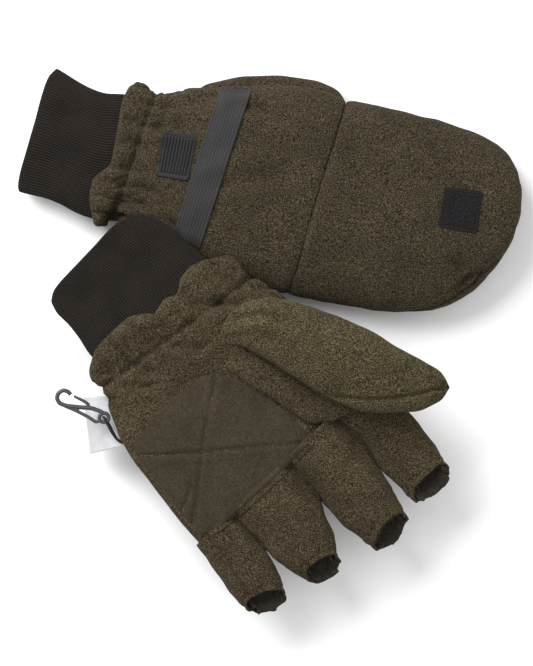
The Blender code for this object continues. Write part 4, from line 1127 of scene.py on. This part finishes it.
def tape(side, corners, tree, up, name, mat, rows=0, lift=0.5, thick=1.2, fuzz=0.0, lip=0.0, zscale=1):
    """A square of hook or loop tape, sewn down, with rounded corners."""
    a, b, c, d = [np.array(k, float) for k in corners]
    n = 96
    s, t = np.linspace(0, 1, n)[:, None], np.linspace(0, 1, n)[None, :]
    # rounded corners: squeeze the grid a little there
    ss, tt = s * 2 - 1, t * 2 - 1
    rr = 0.055
    s2, t2 = ss * (1 - rr * (np.abs(tt) ** 14)), tt * (1 - rr * (np.abs(ss) ** 14))
    s2, t2 = (s2 + 1) / 2, (t2 + 1) / 2
    U = (a[0] * (1 - s2) + d[0] * s2) * (1 - t2) + (b[0] * (1 - s2) + c[0] * s2) * t2
    V = (a[1] * (1 - s2) + d[1] * s2) * (1 - t2) + (b[1] * (1 - s2) + c[1] * s2) * t2
    if up:
        Z = drop(tree, side, U, V)
    else:
        W = world(side, np.stack([U, V, 0 * U - 20], -1)) * 1000
        Z = -np.array([(lambda h: h[0][2] if h[0] is not None else np.nan)(tree.ray_cast(Vector(p), Vector((0, 0, 1)))) for p in W.reshape(-1, 3)]).reshape(U.shape)
    Z = np.where(np.isnan(Z), np.nanmedian(Z), Z)
    S = np.maximum(blur(Z, 9, 9), Z - 0.2)
    S = blur(S, 4, 4)
    e = np.minimum(np.minimum(s, 1 - s) * 22, np.minimum(t, 1 - t) * 22)
    H = S + lift + 0.35 * sstep(e, 0.8, 2.2) - 0.35 * gauss(e - 1.9, 0.35)
    if rows:
        r = np.abs(np.sin(PI * s * rows))
        cell = np.abs(np.sin(PI * t * rows * 1.9 + PI * 0.5 * (np.floor(s * rows) % 2)))
        H = H + (0.55 * r ** 0.8 + 0.45 * cell * r - 0.3) * sstep(e, 2.0, 2.8)
    if fuzz:
        H = H + fuzz * (vnoise(np.stack([U / 0.55, V / 0.55, 0 * U], -1), 19) + 0.6 * vnoise(np.stack([U / 1.3, V / 1.3, 0 * U], -1), 29)) * sstep(e, 1.4, 2.6)
    if lip:
        H = H + lip * (1 - sstep(t * 22, 0, 7))
    sg = 1 if up else -1
    top = np.stack([U, V, sg * H], -1)
    bot = np.stack([U, V, sg * (H - thick)], -1)
    if not up:
        top[..., 2] = np.maximum(top[..., 2], 0.1)
        bot[..., 2] = np.maximum(bot[..., 2], 0.6)
    uv = np.stack(np.broadcast_arrays(s * 0.022, t * 0.024), -1)
    return slab(name, top, bot, side, False, uv, mat)


o = tape("right", [(71.3, -16), (71.8, 9.8), (91.8, 10), (90.4, -16.4)], HANDS["right"], True, "right_hook_patch_tape", HOOKS, rows=11, lip=0.9)
ride(o, "right_mitten", "fastener", "right_hook_patch")
o = tape("right", [(234.8, -20.4), (235.2, 2.8), (256.9, 3.8), (257.3, -20.6)], HOODS["right"], True, "right_loop_patch_tape", LOOPS, fuzz=0.35, lift=0.45)
ride(o, "right_hood", "fastener", "right_loop_patch")
o = tape("left", [(68.5, -8), (68.5, 16), (88.5, 16), (88.5, -8)], HANDS["left_low"], False, "left_hook_patch_tape", HOOKS, rows=11)
ride(o, "left_mitten", "fastener", "left_hook_patch")
h0, dd = np.array([164.5, -9.0]), np.array([0.061, 1.0]) / math.hypot(0.061, 1)


def mirror(p):
    r = np.array(p, float) - h0
    return tuple(h0 + 2 * (r @ dd) * dd - r)


o = tape("left", [mirror(p) for p in ((229.5, -26), (229.5, -2), (251, -2), (251, -26))], HOODS["left"], True, "left_loop_patch_tape", LOOPS, fuzz=0.3, lift=0.2)
ride(o, "left_hood", "fastener", "left_loop_patch")

# ---------------------------------------------------------------- stitching that shows
def band_line(quad, inset):
    c = np.mean(quad, axis=0)
    q = [np.array(p) + (c - np.array(p)) * inset for p in quad]
    return [[q[0], q[1]], [q[1], q[2]], [q[2], q[3]], [q[3], q[0]]]


lines = [on_surface(LP, "left", l, 0.12) for l in cross]
lines += [on_surface(LP, "left", [np.array(p) + (np.array([128.0, -30.0]) - np.array(p)) * 0.03 for p in e], 0.12, 70) for e in EDGES]
ride(stitches("left_palm_patch_stitching", lines, THREAD, 1.7, 1.1, 0.17), "left_mitten", None)
sq = [(71.3, -16), (71.8, 9.8), (91.8, 10), (90.4, -16.4)]
lines = [world("right", np.stack([l[:, 0], l[:, 1], drop(HANDS["right"], "right", l[:, 0], l[:, 1], miss=24.0) + 1.15], -1)) * 1000 for l in [along(k, np.linspace(0, 1, 30), 0.5) for k in band_line(sq, 0.1)]]
ride(stitches("right_hook_patch_stitching", lines, THREAD, 1.5, 0.9, 0.16), "right_mitten", None)
sq = [(234.8, -20.4), (235.2, 2.8), (256.9, 3.8), (257.3, -20.6)]
lines = [world("right", np.stack([l[:, 0], l[:, 1], drop(HOODS["right"], "right", l[:, 0], l[:, 1], miss=30.0) + 0.95], -1)) * 1000 for l in [along(k, np.linspace(0, 1, 30), 0.5) for k in band_line(sq, 0.1)]]
ride(stitches("right_loop_patch_stitching", lines, THREAD, 1.5, 0.9, 0.16), "right_hood", None)


# ---------------------------------------------------------------- label, cord loop and snap hook
def sweep(name, pts, radius, mat, sides=14, n=120, flat=1.0, sigma=0.5, caps=True, closed=False):
    pts = np.array(pts, float)
    c = along(pts, np.linspace(0, 1, n), sigma)
    r = radius(np.linspace(0, 1, n)) if callable(radius) else np.full(n, float(radius))
    T = np.gradient(c, axis=0)
    T /= np.linalg.norm(T, axis=1, keepdims=True)
    up = np.array([0, 0, 1.0])
    a = np.cross(T, up)
    a /= np.linalg.norm(a, axis=1, keepdims=True) + 1e-9
    b = np.cross(a, T)
    w = np.linspace(0, 2 * PI, sides, endpoint=False)
    ring = c[:, None, :] + r[:, None, None] * (a[:, None, :] * np.cos(w)[None, :, None] + flat * b[:, None, :] * np.sin(w)[None, :, None])
    V = plain(ring.reshape(-1, 3))
    F = []
    for i in range(n - 1):
        for j in range(sides):
            k = (j + 1) % sides
            F.append((i * sides + j, i * sides + k, (i + 1) * sides + k, (i + 1) * sides + j))
    V = np.concatenate([V, plain(c[[0, -1]])])
    m = n * sides
    for j in range(sides):
        k = (j + 1) % sides
        F.append((m, k, j, j))
        F.append((m + 1, (n - 1) * sides + j, (n - 1) * sides + k, (n - 1) * sides + k))
    F = [f if len(set(f)) == 4 else tuple(dict.fromkeys(f)) for f in F]
    uv = np.stack(np.meshgrid(np.linspace(0, 1, n) * np.linalg.norm(np.diff(c, axis=0), axis=1).sum() / 1000, w * radius(0.5) / 1000 if callable(radius) else w * radius / 1000, indexing="ij"), -1).reshape(-1, 2)
    uv = np.concatenate([uv, uv[:1], uv[-1:]])
    return make(name, V, F, uv, mat)


def fuse(name, objs, mat, voxel=0.00022):
    ctx = bpy.context
    for o in ctx.selected_objects:
        o.select_set(False)
    for o in objs:
        o.select_set(True)
    ctx.view_layer.objects.active = objs[0]
    bpy.ops.object.join()
    o = objs[0]
    o.name = name
    o.data.name = name
    m = o.modifiers.new("fuse", "REMESH")
    m.mode, m.voxel_size, m.use_smooth_shade = "VOXEL", voxel, True
    k = o.modifiers.new("ease", "SMOOTH")
    k.factor, k.iterations = 0.5, 7
    dg = ctx.evaluated_depsgraph_get()
    me = bpy.data.meshes.new_from_object(o.evaluated_get(dg))
    o.modifiers.clear()
    o.data = me
    me.materials.clear()
    me.materials.append(mat)
    me.polygons.foreach_set("use_smooth", [True] * len(me.polygons))
    return o


Z0 = 36.0
eye = [(-92.1 + 2.65 * math.cos(t), -48.0 + 2.65 * math.sin(t), Z0) for t in np.linspace(0, 2 * PI, 40)]
spine = [(-110.9, -35.0, Z0), (-112.4, -33.2, Z0), (-115.2, -32.3, Z0), (-118, -34, Z0), (-118.9, -37, Z0), (-117.4, -39.8, Z0), (-113.8, -41.2, Z0), (-106.5, -42, Z0), (-99, -42.6, Z0), (-93.6, -44.6, Z0), (-92.4, -45.6, Z0)]
brace = [(-114.6, -41.2, Z0), (-108, -44, Z0), (-101, -47.6, Z0), (-96.6, -50.6, Z0), (-94.3, -49.6, Z0)]
bits = [sweep("a", eye, 1.15, CLIP, sigma=0.3), sweep("b", spine, lambda t: 1.22 - 0.16 * np.asarray(t) * 0 + 0.1 * np.sin(PI * np.asarray(t)), CLIP, sigma=0.7), sweep("c", brace, 1.05, CLIP, sigma=0.7)]
o = fuse("left_snap_hook_moulding", bits, CLIP)
ride(o, "snap_hook", "clip_plastic", "left_snap_hook_body")
gate = [(-100.6, -41.5, Z0), (-101.6, -39.7, Z0), (-105.4, -37.6, Z0), (-109.2, -35.8, Z0)]
bits = [sweep("d", gate, lambda t: 0.95 - 0.22 * sstep(t, 0.5, 1.0), CLIP, sigma=0.6)]
o = fuse("left_snap_gate_arm", bits, CLIP, 0.0002)
ride(o, "snap_gate", "clip_plastic", "left_snap_gate")

loop = [(-80.6, -61.8, 31.0), (-83.2, -61.4, 31.6), (-85.4, -60.0, 32.6), (-87.6, -56.6, 35.4), (-89.6, -52.8, 37.4), (-91.2, -49.6, 38.0), (-92.6, -47.6, 36.9), (-92.6, -47.4, 35.0), (-91.0, -49.0, 34.0), (-89.0, -52.4, 33.6), (-87.0, -56.6, 32.6), (-85.0, -60.5, 31.2), (-82.8, -62.2, 30.6), (-80.4, -62.8, 30.2)]
o = sweep("left_hanger_loop_cord", loop, 0.68, CORD, sides=12, n=110, sigma=0.7)
ride(o, "left_mitten", "fastener", "left_hanger_loop")

n, m = 46, 40
s, t = np.linspace(0, 1, n)[:, None], np.linspace(0, 1, m)[None, :]
r0, r1 = np.array([-86.2, -35.4]), np.array([-81.8, -64.2])
f0, f1 = np.array([-105.4, -36.2]), np.array([-101.0, -69.0])
a0, a1 = np.array([-104.9, -36.6]), np.array([-100.9, -69.2])
root = r0[None, None] * (1 - t[..., None]) + r1[None, None] * t[..., None]
free = a0[None, None] * (1 - t[..., None]) + a1[None, None] * t[..., None]
XY = root * (1 - s[..., None]) + free * s[..., None]
Zl = 30.5 - 14.5 * s ** 1.25 + 1.3 * np.sin(PI * s) + 0.9 * np.sin(2.1 * t + 3.0 * s) * s + 0.5 * vnoise(np.stack([s * 3 + 0 * t, t * 3 + 0 * s, 0 * s + 0 * t], -1), 4)
top = np.concatenate([XY, Zl[..., None]], -1)
hem = np.minimum(np.minimum(t, 1 - t) * 34, (1 - s) * 22)
top[..., 2] += 0.22 * (1 - sstep(hem, 1.6, 2.0)) + 0.05 * gauss(hem - 1.8, 0.3)
bot = top - np.array([0, 0, 0.45])
uv = np.stack(np.broadcast_arrays(s * 0.022, t * 0.034), -1)
o = slab("left_care_label_woven", top, bot, None, False, uv, LABEL)
ride(o, "left_mitten", "label", "left_care_label")

# ---------------------------------------------------------------- floor, light, camera
F = Mat("floor_paper")
g = F.noise(30.0, 3.0, 0.5)
col = F.ramp(g, [(0.3, (0.90, 0.90, 0.90, 1)), (0.7, (0.93, 0.93, 0.93, 1))])
F.done(col, 0.9, 0.1, 0.0, F.bump(F.noise(700.0, 2.0, 0.5), 0.00005, 0.3))
me = bpy.data.meshes.new("floor")
me.from_pydata([(-4, -4, 0), (4, -4, 0), (4, 4, 0), (-4, 4, 0)], [], [(0, 1, 2, 3)])
floor = bpy.data.objects.new("floor", me)
bpy.context.scene.collection.objects.link(floor)
me.materials.append(F.m)
floor.location.z = -0.0003

world_bg = bpy.data.worlds.new("studio")
bpy.context.scene.world = world_bg
world_bg.use_nodes = True
bg = world_bg.node_tree.nodes.get("Background")
bg.inputs[0].default_value = (1, 1, 1, 1)
bg.inputs[1].default_value = 0.68


def area(name, loc, target, size, power):
    d = bpy.data.lights.new(name, "AREA")
    d.shape, d.size, d.energy = "SQUARE", size, power
    o = bpy.data.objects.new(name, d)
    bpy.context.scene.collection.objects.link(o)
    o.location = loc
    o.rotation_euler = (Vector(target) - Vector(loc)).to_track_quat("-Z", "Y").to_euler()
    return o


area("key", (-0.85, 0.95, 1.05), (0, 0, 0), 1.1, 41.0)
area("fill", (0.7, -0.3, 1.6), (0, 0, 0), 1.6, 6.0)
bpy.context.scene.view_settings.view_transform = "Standard"
bpy.context.scene.view_settings.look = "None"

cam = bpy.data.cameras.new("camera")
cam.type, cam.lens, cam.sensor_width = "PERSP", 189.7, 36.0
cam.clip_start, cam.clip_end = 0.05, 20.0
co = bpy.data.objects.new("camera", cam)
bpy.context.scene.collection.objects.link(co)
co.location = (-0.0011, -0.001075, 2.025)
co.rotation_euler = (0, 0, 0)
bpy.context.scene.camera = co
